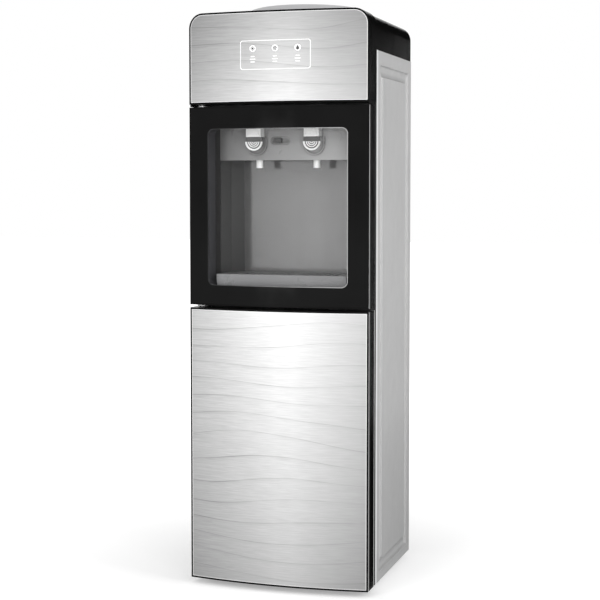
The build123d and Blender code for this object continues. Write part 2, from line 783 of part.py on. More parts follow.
def fascia_pane(inset0, inset1):
    """Decor glass of the fascia, or the pocket for it."""
    profile = round_topped(HALF_W - RIM, FASCIA_Z0 + RIM, FASCIA_Z1 - RIM, CORNER_R - RIM)
    sheet = bowed_sheet(HALF_W + CORNER_R, inset0, inset1, FASCIA_Z0, FASCIA_Z1)
    return front_view(profile, FRONT_Y - 2 * PAST, PANEL_Y0) & sheet


def fascia_glass():
    pane = fascia_pane(0, GLASS_T)
    for x in INDICATOR_XS:
        hole_r = INDICATOR_R + INDICATOR_CLEAR
        pane -= rod(hole_r, (x, FRONT_Y - PAST, INDICATOR_Z), (x, board_y(), INDICATOR_Z))
    return pane


def board_y():
    """Front face of the indicator board."""
    return bow_y(0, GLASS_T + SHELL_T) + BOARD_STANDOFF


def post_places():
    x = BOARD_W / 2 - POST_MARGIN
    levels = (BOARD_Z0 + POST_MARGIN, BOARD_Z0 + BOARD_H - POST_MARGIN)
    return [(side * x, z) for side in (-1, 1) for z in levels]


def indicator_board():
    y = board_y()
    return block(-BOARD_W / 2, BOARD_W / 2, y, y + BOARD_T, BOARD_Z0, BOARD_Z0 + BOARD_H)


def indicator_lenses():
    front = bowed_block(HALF_W, 0, board_y(), SHELL_T, FASCIA_Z0, FASCIA_Z1)
    pieces = []
    for x in INDICATOR_XS:
        guide = rod(INDICATOR_R, (x, FRONT_Y - PAST, INDICATOR_Z), (x, board_y(), INDICATOR_Z))
        pieces.append(guide & front)
    return group(pieces)


# Doors

def door_pane(inset0, inset1, z0, z1):
    """Bowed glass inside the rim of a door, or the pocket for it."""
    return bowed_sheet(HALF_W - RIM, inset0, inset1, z0 + RIM, z1 - RIM)


def trim_groove(z0, z1):
    """Strip let into the right side of a door, near its front edge."""
    y0 = CORNER_Y + TRIM_SETBACK
    return block(HALF_W - TRIM_T, HALF_W, y0, y0 + TRIM_W, z0, z1)


def door_trim(z0, z1):
    right = trim_groove(z0, z1)
    return group([right, mirrored(right)])


def hinge_bosses(z0, z1):
    lower = rod(BOSS_R, (HINGE_X, HINGE_Y, z0), (HINGE_X, HINGE_Y, z0 + BOSS_H))
    upper = rod(BOSS_R, (HINGE_X, HINGE_Y, z1 - BOSS_H), (HINGE_X, HINGE_Y, z1))
    return [lower, upper]


def pin_bores(z0, z1):
    depth = PIN_LEN + PIN_END_CLEAR
    lower = rod(PIN_R + PIN_PLAY, (HINGE_X, HINGE_Y, z0 - PAST), (HINGE_X, HINGE_Y, z0 + depth))
    upper = rod(PIN_R + PIN_PLAY, (HINGE_X, HINGE_Y, z1 - depth), (HINGE_X, HINGE_Y, z1 + PAST))
    return [lower, upper]


def door_shell(z0, z1, pin_z0):
    """Moulded door frame: pocket for the glass in front, open at the back."""
    back = DOOR_BACK_Y - SHELL_T
    whole = bowed_block(HALF_W, 0, DOOR_BACK_Y, DOOR_BACK_R, z0, z1)
    shell = whole - block(-HALF_W, HALF_W, back, DOOR_BACK_Y + PAST, z0, z1)
    shell -= door_pane(-PAST, GLASS_T, z0, z1)
    wall = GLASS_T + SHELL_T
    hollow = bowed_block(
        HALF_W - SHELL_T, wall, DOOR_BACK_Y, DOOR_BACK_R - SHELL_T, z0 + SHELL_T, z1 - SHELL_T
    )
    shell -= hollow - block(-HALF_W, HALF_W, back + PAST, DOOR_BACK_Y + PAST, z0, z1)
    for boss in hinge_bosses(pin_z0, z1):
        shell += boss & (whole - block(-HALF_W, HALF_W, back, DOOR_BACK_Y + PAST, z0, z1))
    for bore in pin_bores(pin_z0, z1):
        shell -= bore
    right = trim_groove(z0, z1)
    return shell - right - mirrored(right)


def door_back(z0, z1):
    """Flat inner panel that closes the back of a door."""
    whole = bowed_block(HALF_W, 0, DOOR_BACK_Y, DOOR_BACK_R, z0, z1)
    return whole & block(-HALF_W, HALF_W, DOOR_BACK_Y - SHELL_T, DOOR_BACK_Y, z0, z1)


def window_outline(land):
    """Clear window of the glass door, widened by land."""
    half_w = HALF_W - WINDOW_SIDE + land
    return rectangle(
        -half_w, half_w,
        GLASS_Z0 + WINDOW_BOTTOM - land, GLASS_Z1 - WINDOW_TOP + land,
        WINDOW_R + land,
    )


def glass_door_frame():
    shell = door_shell(GLASS_Z0, GLASS_Z1, GLASS_Z0)
    wall = GLASS_T + SHELL_T
    tunnel = front_view(window_outline(WINDOW_LAND + SHELL_T), FRONT_Y, DOOR_BACK_Y - SHELL_T)
    shell += tunnel & bowed_block(HALF_W, wall, DOOR_BACK_Y, SHELL_T, GLASS_Z0, GLASS_Z1)
    land = bowed_block(HALF_W, wall, DOOR_BACK_Y, SHELL_T, GLASS_Z0, GLASS_Z1)
    shell -= front_view(window_outline(WINDOW_LAND), FRONT_Y, DOOR_BACK_Y) & land
    return shell - front_view(window_outline(0), FRONT_Y - PAST, DOOR_BACK_Y)


def glass_door_back():
    hole = front_view(window_outline(WINDOW_LAND), FRONT_Y, DOOR_BACK_Y + PAST)
    return door_back(GLASS_Z0, GLASS_Z1) - hole


def lower_notch(grow):
    """Room at the lower hinge corner for the bracket plate."""
    reach = PLATE_R + NOTCH_CLEAR + grow
    return block(
        -HALF_W - PAST, HINGE_X + reach, HINGE_Y - reach, DOOR_BACK_Y + PAST,
        LOWER_Z0 - PAST, LOWER_Z0 + NOTCH_H + grow,
    )


def lower_door_frame():
    whole = bowed_block(HALF_W, 0, DOOR_BACK_Y - SHELL_T, DOOR_BACK_R - SHELL_T, LOWER_Z0, LOWER_Z1)
    shell = door_shell(LOWER_Z0, LOWER_Z1, LOWER_Z0 + NOTCH_H)
    corner = bowed_block(HALF_W, 0, DOOR_BACK_Y, DOOR_BACK_R, LOWER_Z0, LOWER_Z1) & whole
    shell += lower_notch(SHELL_T) & corner
    shell = shell - lower_notch(0) - mirrored(trim_groove(LOWER_Z0, LOWER_Z1))
    depth = PIN_LEN + PIN_END_CLEAR
    bore_z = LOWER_Z0 + NOTCH_H
    bore_r = PIN_R + PIN_PLAY
    return shell - rod(bore_r, (HINGE_X, HINGE_Y, bore_z - PAST), (HINGE_X, HINGE_Y, bore_z + depth))


def lower_door_back():
    return door_back(LOWER_Z0, LOWER_Z1) - lower_notch(0)


def glass_door_gasket():
    return ring_frame(
        ALCOVE_HALF_W + WINDOW_R + GASKET_W,
        GLASS_Z0 + GASKET_EDGE, OPENING_Z1 + SEAL_GAP + GASKET_W,
        GASKET_W, DOOR_BACK_Y, FRAME_Y - SEAL_CLEAR,
    )


def lower_door_gasket():
    return ring_frame(
        STORE_HALF_W + PAST + GASKET_W,
        LOWER_Z0 + GASKET_EDGE, LOWER_Z1 - GASKET_EDGE,
        GASKET_W, DOOR_BACK_Y, FRAME_Y - SEAL_CLEAR,
    )


def hinge_bracket(plate_z0, leg_z0, leg_z1, pins):
    """Plate with a round nose, a leg on the front frame and pins."""
    plate_z1 = plate_z0 + PLATE_T
    bracket = rod(PLATE_R, (HINGE_X, HINGE_Y, plate_z0), (HINGE_X, HINGE_Y, plate_z1))
    bracket += block(HINGE_X - PLATE_R, HINGE_X + PLATE_R, HINGE_Y, FRAME_Y, plate_z0, plate_z1)
    bracket += block(HINGE_X - PLATE_R, HINGE_X + LEG_EDGE, FRAME_Y - LEG_T, FRAME_Y, leg_z0, leg_z1)
    for z0, z1 in pins:
        bracket += rod(PIN_R, (HINGE_X, HINGE_Y, z0), (HINGE_X, HINGE_Y, z1))
    return bracket


def hinge_brackets():
    low = LOWER_Z0 + PLATE_RISE
    lower = hinge_bracket(low, low, low + LEG_H, [(low, LOWER_Z0 + NOTCH_H + PIN_LEN)])
    mid = LOWER_Z1 + (DOOR_GAP - PLATE_T) / 2
    middle = hinge_bracket(
        mid, mid + PLATE_T / 2 - LEG_H / 2, mid + PLATE_T / 2 + LEG_H / 2,
        [(LOWER_Z1 - PIN_LEN, GLASS_Z0 + PIN_LEN)],
    )
    top = GLASS_Z1 + (DOOR_GAP - PLATE_T) / 2
    upper = hinge_bracket(top, top + PLATE_T - LEG_H, top + PLATE_T, [(GLASS_Z1 - PIN_LEN, top + PLATE_T)])
    return group([lower, middle, upper])


# Alcove and storage

def alcove_plan(front_y, inset, back_inset):
    """Plan of the alcove, narrowing towards its back wall."""
    mid_y = PANEL_Y0 + ALCOVE_MID_DEPTH
    back_y = PANEL_Y0 + ALCOVE_DEPTH - back_inset
    right = [
        (ALCOVE_HALF_W - inset, front_y),
        (ALCOVE_HALF_W - inset, PANEL_Y0),
        (ALCOVE_MID_HALF_W - inset, mid_y),
        (ALCOVE_BACK_HALF_W - inset, back_y),
    ]
    left = [(-x, y) for x, y in reversed(right)]
    return make_face(Polyline(*right, *left, close=True))


def alcove_liner():
    outer = Pos(0, 0, ALCOVE_Z0 - LINER_T) * extrude(
        alcove_plan(PANEL_Y0 - PAST, -LINER_T, -LINER_T), amount=ALCOVE_Z1 - ALCOVE_Z0 + 2 * LINER_T
    )
    hollow = Pos(0, 0, ALCOVE_Z0) * extrude(alcove_plan(FRAME_Y, 0, 0), amount=ALCOVE_Z1 - ALCOVE_Z0)
    half_w = ALCOVE_HALF_W + LINER_FLANGE
    flange = block(
        -half_w, half_w, PANEL_Y0, PANEL_Y0 + LINER_T, ALCOVE_Z0 - LINER_FLANGE, ALCOVE_Z1 + LINER_T
    )
    liner = outer + flange - hollow
    liner -= block(-HALF_W, HALF_W, FRAME_Y, PANEL_Y0, ALCOVE_Z0 - LINER_FLANGE, OPENING_Z1)
    for x in (-TAP_X, TAP_X):
        liner -= rod(NOZZLE_FLANGE_R + HOLE_CLEAR, (x, TAP_Y, ALCOVE_Z1 - PAST), (x, TAP_Y, BARREL_Z0))
    return liner


def storage_liner():
    """Stepped bin: shallow in front of the compressor, deep above it."""
    step_z = STORE_Z0 + STORE_STEP_RISE - STORE_BOTTOM
    shallow_y = COMP_Y - COMP_PLATE_Y / 2 - STORE_COMP_GAP
    deep_y = PANEL_Y1 - STORE_REAR_GAP
    wall = LINER_T
    wide = STORE_HALF_W + wall
    outer = block(-wide, wide, PANEL_Y0, shallow_y + wall, STORE_Z0 - wall, STORE_Z1 + wall)
    outer += block(-wide, wide, PANEL_Y0, deep_y + wall, step_z - wall, STORE_Z1 + wall)
    half_w = STORE_HALF_W + LINER_FLANGE
    outer += block(
        -half_w, half_w, PANEL_Y0, PANEL_Y0 + wall, STORE_Z0 - LINER_FLANGE, STORE_Z1 + LINER_FLANGE
    )
    hollow = block(-STORE_HALF_W, STORE_HALF_W, PANEL_Y0 - PAST, shallow_y, STORE_Z0, STORE_Z1)
    hollow += block(-STORE_HALF_W, STORE_HALF_W, PANEL_Y0 - PAST, deep_y, step_z, STORE_Z1)
    return outer - hollow


def drip_tray():
    z0 = ALCOVE_Z0 + TRAY_SEAT
    z1 = z0 + TRAY_H
    front_y = FRAME_Y - TRAY_REACH
    tray = Pos(0, 0, z0) * extrude(alcove_plan(front_y, TRAY_CLEAR, TRAY_CLEAR), amount=TRAY_H)
    well = TRAY_CLEAR + TRAY_T
    upper = extrude(alcove_plan(front_y + TRAY_T, well, well), amount=GRILLE_T + PAST)
    lower_in = well + LEDGE_W
    lower = extrude(alcove_plan(front_y + TRAY_T + LEDGE_W, lower_in, lower_in), amount=TRAY_H)
    tray -= Pos(0, 0, z1 - GRILLE_T) * upper
    return tray - Pos(0, 0, z0 + TRAY_T) * lower


def drip_grille():
    z1 = ALCOVE_Z0 + TRAY_SEAT + TRAY_H
    edge = TRAY_CLEAR + TRAY_T + GRILLE_CLEAR
    front_y = FRAME_Y - TRAY_REACH + TRAY_T + GRILLE_CLEAR
    grille = Pos(0, 0, z1 - GRILLE_T) * extrude(alcove_plan(front_y, edge, edge), amount=GRILLE_T)
    slot_y0 = front_y + GRILLE_SLOT_MARGIN
    slot_y1 = PANEL_Y0 + ALCOVE_DEPTH - edge - GRILLE_SLOT_MARGIN
    half_count = int((ALCOVE_BACK_HALF_W - GRILLE_SLOT_SIDE) / GRILLE_PITCH)
    for index in range(-half_count, half_count + 1):
        x = index * GRILLE_PITCH
        slot = Pos(x, (slot_y0 + slot_y1) / 2) * SlotOverall(slot_y1 - slot_y0, GRILLE_SLOT_W, rotation=90)
        grille -= Pos(0, 0, z1 - GRILLE_T - PAST) * extrude(slot, amount=GRILLE_T + 2 * PAST)
    return grille


# Tap panel and taps

def lock_outline(inset):
    """Round-ended outline of the lock recess."""
    return Pos(LOCK_X, TAP_PANEL_Z0 + LOCK_RISE) * SlotOverall(LOCK_LEN - 2 * inset, LOCK_H - 2 * inset)


def tap_panel():
    half_w = ALCOVE_HALF_W - PANEL_CLEAR
    panel = block(-half_w, half_w, TAP_PANEL_Y0, TAP_PANEL_Y1, TAP_PANEL_Z0, OPENING_Z1 - PANEL_CLEAR)
    half = TAP_BLOCK_W / 2 + PANEL_CLEAR
    for x in (-TAP_X, TAP_X):
        panel -= block(
            x - half, x + half, TAP_PANEL_Y0 - PAST, TAP_PANEL_Y1 + PAST,
            TAP_BLOCK_Z0 - PANEL_CLEAR, TAP_BLOCK_Z1 + PANEL_CLEAR,
        )
    panel -= front_view(lock_outline(0), TAP_PANEL_Y0 - PAST, TAP_PANEL_Y0 + LOCK_RECESS)
    return panel - front_view(lock_outline(LOCK_SLOT_MARGIN), TAP_PANEL_Y0 - PAST, TAP_PANEL_Y1 + PAST)


def lock_slider():
    """Thumb tab, neck through the slot and the keeper plate that closes the slot from behind."""
    slot_half = LOCK_LEN / 2 - LOCK_SLOT_MARGIN
    slot_h = LOCK_H / 2 - LOCK_SLOT_MARGIN
    x0 = LOCK_X - slot_half + slot_h
    x1 = x0 + LOCK_TAB_W
    z = TAP_PANEL_Z0 + LOCK_RISE
    half_h = slot_h - PANEL_CLEAR
    tab = block(x0, x1, TAP_PANEL_Y0 - LOCK_TAB_PROUD, TAP_PANEL_Y1 + PANEL_CLEAR, z - half_h, z + half_h)
    keeper_h = slot_h + LOCK_KEEPER_EXTRA
    keeper_y = TAP_PANEL_Y1 + PANEL_CLEAR
    cover_x0 = LOCK_X - slot_half - LOCK_COVER_BEHIND
    cover_x1 = LOCK_X + slot_half + LOCK_COVER_AHEAD
    return tab + block(cover_x0, cover_x1, keeper_y, keeper_y + LOCK_KEEPER_T, z - keeper_h, z + keeper_h)


def tap_body(x):
    """Valve barrel with its inlet, and the hollow block that carries the lever."""
    half_w = TAP_BLOCK_W / 2
    z0, z1 = TAP_BLOCK_Z0, TAP_BLOCK_Z1
    back_y = TAP_PANEL_Y1
    shell = block(x - half_w, x + half_w, TAP_FRONT_Y, back_y, z0, z1)
    shell -= block(
        x - half_w + TAP_WALL, x + half_w - TAP_WALL, TAP_FRONT_Y + TAP_WALL, back_y + PAST,
        z0 - PAST, z1 - TAP_WALL,
    )
    flange_w = half_w + TAP_FLANGE_EXTRA
    flange = block(x - flange_w, x + flange_w, back_y, back_y + TAP_FLANGE_T, z0 - TAP_FLANGE_DROP, z1)
    barrel = rod(BARREL_R, (x, TAP_Y, BARREL_Z0), (x, TAP_Y, BARREL_Z1))
    inlet_end = TAP_Y + BARREL_R + INLET_LEN
    inlet = rod(INLET_R, (x, TAP_Y, TAP_INLET_Z), (x, inlet_end, TAP_INLET_Z))
    body = shell + flange + barrel + inlet
    valve_z0 = BARREL_Z0 + SEAT_T
    body -= rod(OUTLET_R, (x, TAP_Y, BARREL_Z0 - PAST), (x, TAP_Y, valve_z0))
    body -= rod(VALVE_R, (x, TAP_Y, valve_z0), (x, TAP_Y, valve_z0 + VALVE_H))
    body -= rod(STEM_R + STEM_PLAY, (x, TAP_Y, valve_z0), (x, TAP_Y, CHAMBER_Z0 + PAST))
    body -= rod(CHAMBER_R, (x, TAP_Y, CHAMBER_Z0), (x, TAP_Y, BARREL_Z1 - TAP_WALL))
    body -= rod(OUTLET_R, (x, TAP_Y, TAP_INLET_Z), (x, inlet_end + PAST, TAP_INLET_Z))
    slot_x = CHAMBER_R - PAST / 2
    body -= block(x - slot_x, x + slot_x, back_y - PAST, TAP_Y, CHAMBER_Z0, PIVOT_Z + CHAMBER_R)
    return body - rod(TRUNNION_R + PIN_PLAY, (x - half_w, PIVOT_Y, PIVOT_Z), (x + half_w, PIVOT_Y, PIVOT_Z))


def tap_bodies():
    return group([tap_body(-TAP_X), tap_body(TAP_X)])


def tap_nozzles():
    pieces = []
    for x in (-TAP_X, TAP_X):
        top = BARREL_Z0
        waist = top - NOZZLE_FLANGE_T
        nozzle = rod(NOZZLE_FLANGE_R, (x, TAP_Y, waist), (x, TAP_Y, top))
        nozzle += rod(NOZZLE_R, (x, TAP_Y, waist - NOZZLE_DROP), (x, TAP_Y, waist))
        tip = waist - NOZZLE_DROP
        pieces.append(nozzle - rod(NOZZLE_BORE_R, (x, TAP_Y, tip - PAST), (x, TAP_Y, top + PAST)))
    return group(pieces)


def tap_bezels():
    """Dark U-shaped surrounds of the thumb levers."""
    top = TAP_BLOCK_Z0 - PANEL_CLEAR
    centre = PIVOT_Z - BEZEL_CENTRE_DROP
    pieces = []
    for x in (-TAP_X, TAP_X):
        outline = u_shape(x, centre, BEZEL_R, top) - u_shape(x, centre, BEZEL_OPEN_R, top + PAST)
        pieces.append(front_view(outline, TAP_PANEL_Y0 - BEZEL_T, TAP_PANEL_Y0))
    return group(pieces)


def tap_lever(x):
    """Thumb lever: ridged U paddle, trunnions and a fork behind the pivot."""
    centre = PIVOT_Z - LEVER_CENTRE_DROP
    face_y = TAP_FRONT_Y + TAP_WALL + LEVER_FACE_CLEAR
    paddle_top = TAP_BLOCK_Z0 - LEVER_SIDE_CLEAR
    outline = u_shape(x, centre, LEVER_R - LEVER_SIDE_CLEAR, paddle_top)
    paddle = front_view(outline, face_y, face_y + LEVER_T)
    lower_half = rectangle(x - LEVER_R, x + LEVER_R, centre - LEVER_R, centre)
    rim = Pos(x, centre) * (Circle(LEVER_R) - Circle(LEVER_R - LEVER_RIM_W)) & lower_half
    lever = paddle + front_view(rim, face_y - LEVER_RIM_H, face_y + LEVER_T)
    for index in range(RIDGE_COUNT):
        radius = RIDGE_R + index * RIDGE_PITCH
        ridge = Pos(x, centre) * (Circle(radius) - Circle(radius - RIDGE_W)) & lower_half
        lever += front_view(ridge, face_y - LEVER_RIM_H, face_y)
    inner = TAP_BLOCK_W / 2 - TAP_WALL - LEVER_SIDE_CLEAR
    lever += rod(LEVER_BARREL_R, (x - inner, PIVOT_Y, PIVOT_Z), (x + inner, PIVOT_Y, PIVOT_Z))
    lever += block(x - inner, x + inner, face_y, face_y + LEVER_T, paddle_top - PAST, PIVOT_Z)
    lever += block(x - inner, x + inner, face_y, PIVOT_Y, PIVOT_Z - LEVER_BARREL_R, PIVOT_Z)
    outer = TAP_BLOCK_W / 2
    lever += rod(TRUNNION_R, (x - outer, PIVOT_Y, PIVOT_Z), (x + outer, PIVOT_Y, PIVOT_Z))
    for side in (-1, 1):
        near, far = sorted((x + side * PRONG_X, x + side * (PRONG_X + PRONG_W)))
        lever += block(near, far, PIVOT_Y, TAP_Y + PRONG_TIP, PIVOT_Z - PRONG_T / 2, PIVOT_Z + PRONG_T / 2)
    return lever


def tap_stem(x):
    """Valve stem with its rubber plug below and the lifting flange above."""
    seat = BARREL_Z0 + SEAT_T + LEVER_LIFT
    stem = rod(PLUG_R, (x, TAP_Y, seat), (x, TAP_Y, seat + PLUG_H))
    stem += rod(STEM_R, (x, TAP_Y, seat), (x, TAP_Y, STEM_FLANGE_Z))
    return stem + rod(STEM_FLANGE_R, (x, TAP_Y, STEM_FLANGE_Z), (x, TAP_Y, STEM_FLANGE_Z + STEM_FLANGE_T))


def tap_spring(x, name):
    """Return spring between the stem's flange and the top of the chamber."""
    z0 = STEM_FLANGE_Z + STEM_FLANGE_T + SPRING_WIRE_R + LEVER_LIFT
    z1 = BARREL_Z1 - TAP_WALL - SPRING_WIRE_R - LEVER_LIFT
    edges = helix_edges((x, TAP_Y), SPRING_R, z0, z1, SPRING_TURNS * 4, 0)
    return wound_tube(edges, SPRING_WIRE_R, name, SPRING_TURNS)


# Cold tank, collar and foam

def bottle_collar():
    """Domed ring with a funnel and a neck sleeve."""
    base = COVER_Z1
    crest = base + COLLAR_CREST_H
    neck_z1 = base - NECK_DROP
    neck_z0 = neck_z1 - NECK_LEN
    lip_r = COLLAR_CREST_R - COLLAR_CREST_H / 2
    lip_z = crest - COLLAR_LIP_DROP
    shoulder_r = (COLLAR_R + COLLAR_CREST_R) / 2 + COLLAR_CREST_H / 2
    t = COLLAR_T
    skirt_r = COLLAR_HOLE_R - COLLAR_SKIRT_CLEAR
    outline = [
        Line((COLLAR_R, base), (COLLAR_R, base + t)),
        ThreePointArc((COLLAR_R, base + t), (shoulder_r, base + COLLAR_SHOULDER_H), (COLLAR_CREST_R, crest)),
        ThreePointArc((COLLAR_CREST_R, crest), (lip_r + t, crest - t / 2), (lip_r, lip_z)),
        Line((lip_r, lip_z), (NECK_R, neck_z1)),
        Line((NECK_R, neck_z1), (NECK_R, neck_z0)),
        Line((NECK_R, neck_z0), (NECK_R + t, neck_z0)),
        Line((NECK_R + t, neck_z0), (NECK_R + t, neck_z1 - t / 2)),
        Line((NECK_R + t, neck_z1 - t / 2), (lip_r + t, lip_z - t)),
        Line((lip_r + t, lip_z - t), (COLLAR_CREST_R + t, crest - 1.5 * t)),
        Line((COLLAR_CREST_R + t, crest - 1.5 * t), (skirt_r - t, base)),
        Line((skirt_r - t, base), (skirt_r - t, base - COLLAR_SKIRT_H)),
        Line((skirt_r - t, base - COLLAR_SKIRT_H), (skirt_r, base - COLLAR_SKIRT_H)),
        Line((skirt_r, base - COLLAR_SKIRT_H), (skirt_r, base)),
        Line((skirt_r, base), (COLLAR_R, base)),
    ]
    profile = Plane.XZ * make_face(outline)
    return Pos(0, TANK_Y, 0) * revolve(profile, axis=Axis.Z)


def tank_lid():
    """Lid of the cold tank with the feed probe that opens the bottle's cap."""
    z0, z1 = LID_Z0, LID_Z0 + LID_T
    lid = rod(FOAM_BORE_R, (0, TANK_Y, z0), (0, TANK_Y, z1))
    tip_z = z1 + PROBE_H - PROBE_TIP_H
    lid += rod(PROBE_R, (0, TANK_Y, z1), (0, TANK_Y, tip_z))
    lid += Pos(0, TANK_Y, tip_z + PROBE_TIP_H / 2) * Cone(PROBE_R, PROBE_BORE_R / 2, PROBE_TIP_H)
    lid -= rod(PROBE_BORE_R, (0, TANK_Y, z0 - PAST), (0, TANK_Y, tip_z - PAST))
    port_z = z1 + PROBE_PORT_R + PAST
    return lid - rod(PROBE_PORT_R, (-2 * PROBE_R, TANK_Y, port_z), (2 * PROBE_R, TANK_Y, port_z))


def tank_stub(x, y, z0, z1):
    return rod(STUB_R, (x, y, z0), (x, y, z1)), rod(STUB_BORE_R, (x, y, z0 - PAST), (x, y, z1 + 2 * PAST))


def cold_tank():
    tank = rod(COLD_TANK_R, (0, TANK_Y, TANK_Z0), (0, TANK_Y, LID_Z0))
    tank -= rod(COLD_TANK_R - TANK_T, (0, TANK_Y, TANK_Z0 + TANK_T), (0, TANK_Y, LID_Z0 + PAST))
    for x, y in (COLD_STUB, FEED_STUB, COLD_DRAIN_STUB):
        stub, bore = tank_stub(x, y, FOAM_Z0, TANK_Z0)
        tank = tank + stub - bore
    return tank


def coil_tail(side, z):
    """Straight tail of the evaporator, running to the rear."""
    return [Vector(side * COIL_R, TANK_Y, z), Vector(side * COIL_R, COIL_TAIL_Y, z)]


def evaporator_coil():
    """Wound on the cold tank, both tails leaving to the rear."""
    quarters = COIL_TURNS * 4 + 2
    left, left_end = coil_tail(-1, COIL_Z0)
    right, right_end = coil_tail(1, COIL_Z1)
    edges = [Line(left_end, left)]
    edges += helix_edges((0, TANK_Y), COIL_R, COIL_Z0, COIL_Z1, quarters, 2)
    edges.append(Line(right, right_end))
    return wound_tube(edges, COIL_TUBE_R, "evaporator coil", quarters / 4)


def foam_halves(radius, bore, z0, floor, z1, y, cuts):
    """Two half shells around a tank, parted at the middle plane."""
    shell = rod(radius, (0, y, z0), (0, y, z1)) - rod(bore, (0, y, z0 + floor), (0, y, z1 + PAST))
    for cut in cuts:
        shell -= cut
    right = shell & block(0, radius + PAST, y - radius - PAST, y + radius + PAST, z0, z1)
    left = shell & block(-radius - PAST, 0, y - radius - PAST, y + radius + PAST, z0, z1)
    return [left, right]


def tank_foam():
    cuts = []
    for x, y in (COLD_STUB, FEED_STUB, COLD_DRAIN_STUB):
        cuts.append(rod(STUB_R + HOLE_CLEAR, (x, y, FOAM_Z0 - PAST), (x, y, TANK_Z0 + PAST)))
    for side, z in ((-1, COIL_Z0), (1, COIL_Z1)):
        start, end = coil_tail(side, z)
        cuts.append(rod(COIL_TUBE_R + FOAM_CLEAR, tuple(start), tuple(end)))
    cold = foam_halves(FOAM_R, FOAM_BORE_R, FOAM_Z0, FOAM_FLOOR, LID_Z0, TANK_Y, cuts)
    hot_bore = HOT_TANK_R + HOLE_CLEAR
    z0 = HOT_Z0 - HOT_JACKET_T
    hot_cuts = [rod(STUB_R + HOLE_CLEAR, (x, y, z0 - PAST), (x, y, HOT_Z0 + PAST)) for x, y in hot_stubs()]
    hot = foam_halves(HOT_TANK_R + HOT_JACKET_T, hot_bore, z0, HOT_JACKET_T, HOT_Z1, HOT_TANK_Y, hot_cuts)
    return group(cold + hot)


def hot_stubs():
    """Inlet and drain under the hot tank."""
    return [(0.0, HOT_TANK_Y), HOT_DRAIN_STUB]


def hot_tank():
    tank = rod(HOT_TANK_R, (0, HOT_TANK_Y, HOT_Z0), (0, HOT_TANK_Y, HOT_Z1))
    tank -= rod(HOT_TANK_R - TANK_T, (0, HOT_TANK_Y, HOT_Z0 + TANK_T), (0, HOT_TANK_Y, HOT_Z1 - TANK_T))
    for x, y in hot_stubs():
        stub, bore = tank_stub(x, y, HOT_Z0 - HOT_STUB_LEN, HOT_Z0)
        tank = tank + stub - bore
    top_stub, top_bore = tank_stub(0, HOT_TANK_Y, HOT_Z1, HOT_Z1 + HOT_STUB_LEN)
    port = rod(STUB_BORE_R, (0, HOT_TANK_Y, HOT_Z1 - 2 * PAST), (0, HOT_TANK_Y, HOT_Z1 + PAST))
    return tank + top_stub - top_bore - port


# Hoses, drains and supports

def water_hoses():
    level = TAP_INLET_Z
    tap_end = TAP_Y + BARREL_R + INLET_LEN
    bend_y = tap_end + 3 * HOSE_BEND
    drain_end = PANEL_Y1 - SPOUT_IN
    hot_low = HOT_Z0 - HOT_STUB_LEN
    routes = {
        "cold": [
            (*COLD_STUB, FOAM_Z0), (*COLD_STUB, level), (TAP_X, bend_y, level), (TAP_X, tap_end, level),
        ],
        "hot": [
            (0, HOT_TANK_Y, HOT_Z1 + HOT_STUB_LEN), (0, HOT_TANK_Y, level),
            (-TAP_X, bend_y, level), (-TAP_X, tap_end, level),
        ],
        "feed": [
            (*FEED_STUB, FOAM_Z0), (*FEED_STUB, level), (FEED_LANE_X, FEED_STUB[1], level),
            (FEED_LANE_X, FEED_STUB[1], hot_low - FEED_LOOP_DROP),
            (0, HOT_TANK_Y, hot_low - FEED_LOOP_DROP), (0, HOT_TANK_Y, hot_low),
        ],
        "hot drain": [
            (*HOT_DRAIN_STUB, hot_low), (*HOT_DRAIN_STUB, hot_low - HOT_DRAIN_DROP),
            (HOT_DRAIN_X, DRAIN_LANE_Y, hot_low - HOT_DRAIN_DROP),
            (HOT_DRAIN_X, DRAIN_LANE_Y, DRAIN_Z), (HOT_DRAIN_X, drain_end, DRAIN_Z),
        ],
        "cold drain": [
            (*COLD_DRAIN_STUB, FOAM_Z0), (*COLD_DRAIN_STUB, level), (COLD_DRAIN_X, DRAIN_LANE_Y, level),
            (COLD_DRAIN_X, DRAIN_LANE_Y, DRAIN_Z), (COLD_DRAIN_X, drain_end, DRAIN_Z),
        ],
    }
    return group([pipe(points, HOSE_R, HOSE_BEND, HOSE_BORE_R) for points in routes.values()])


def drain_spouts():
    pieces = []
    for x in (HOT_DRAIN_X, COLD_DRAIN_X):
        start, end = PANEL_Y1 - SPOUT_IN, PANEL_Y1 + SPOUT_OUT
        spout = rod(SPOUT_R, (x, start, DRAIN_Z), (x, end, DRAIN_Z))
        inside = PANEL_Y1 - SHEET_T
        spout += rod(SPOUT_FLANGE_R, (x, inside - SPOUT_FLANGE_T, DRAIN_Z), (x, inside, DRAIN_Z))
        pieces.append(spout - rod(SPOUT_BORE_R, (x, start - PAST, DRAIN_Z), (x, end + PAST, DRAIN_Z)))
    return group(pieces)


def drain_plug(x):
    """Ribbed cap over a drain spout."""
    start = PANEL_Y1 + PLUG_CAP_CLEAR
    inner_end = PANEL_Y1 + SPOUT_OUT + PLUG_CAP_CLEAR
    cap = rod(PLUG_CAP_R, (x, start, DRAIN_Z), (x, inner_end + PLUG_CAP_WALL, DRAIN_Z))
    for index in range(PLUG_RIB_COUNT):
        angle = 2 * math.pi * index / PLUG_RIB_COUNT
        rib_x = x + PLUG_CAP_R * math.cos(angle)
        rib_z = DRAIN_Z + PLUG_CAP_R * math.sin(angle)
        cap += rod(PAST, (rib_x, start, rib_z), (rib_x, inner_end + PLUG_CAP_WALL, rib_z))
    return cap - rod(SPOUT_R + PLUG_CAP_CLEAR, (x, start - PAST, DRAIN_Z), (x, inner_end, DRAIN_Z))


# Refrigeration

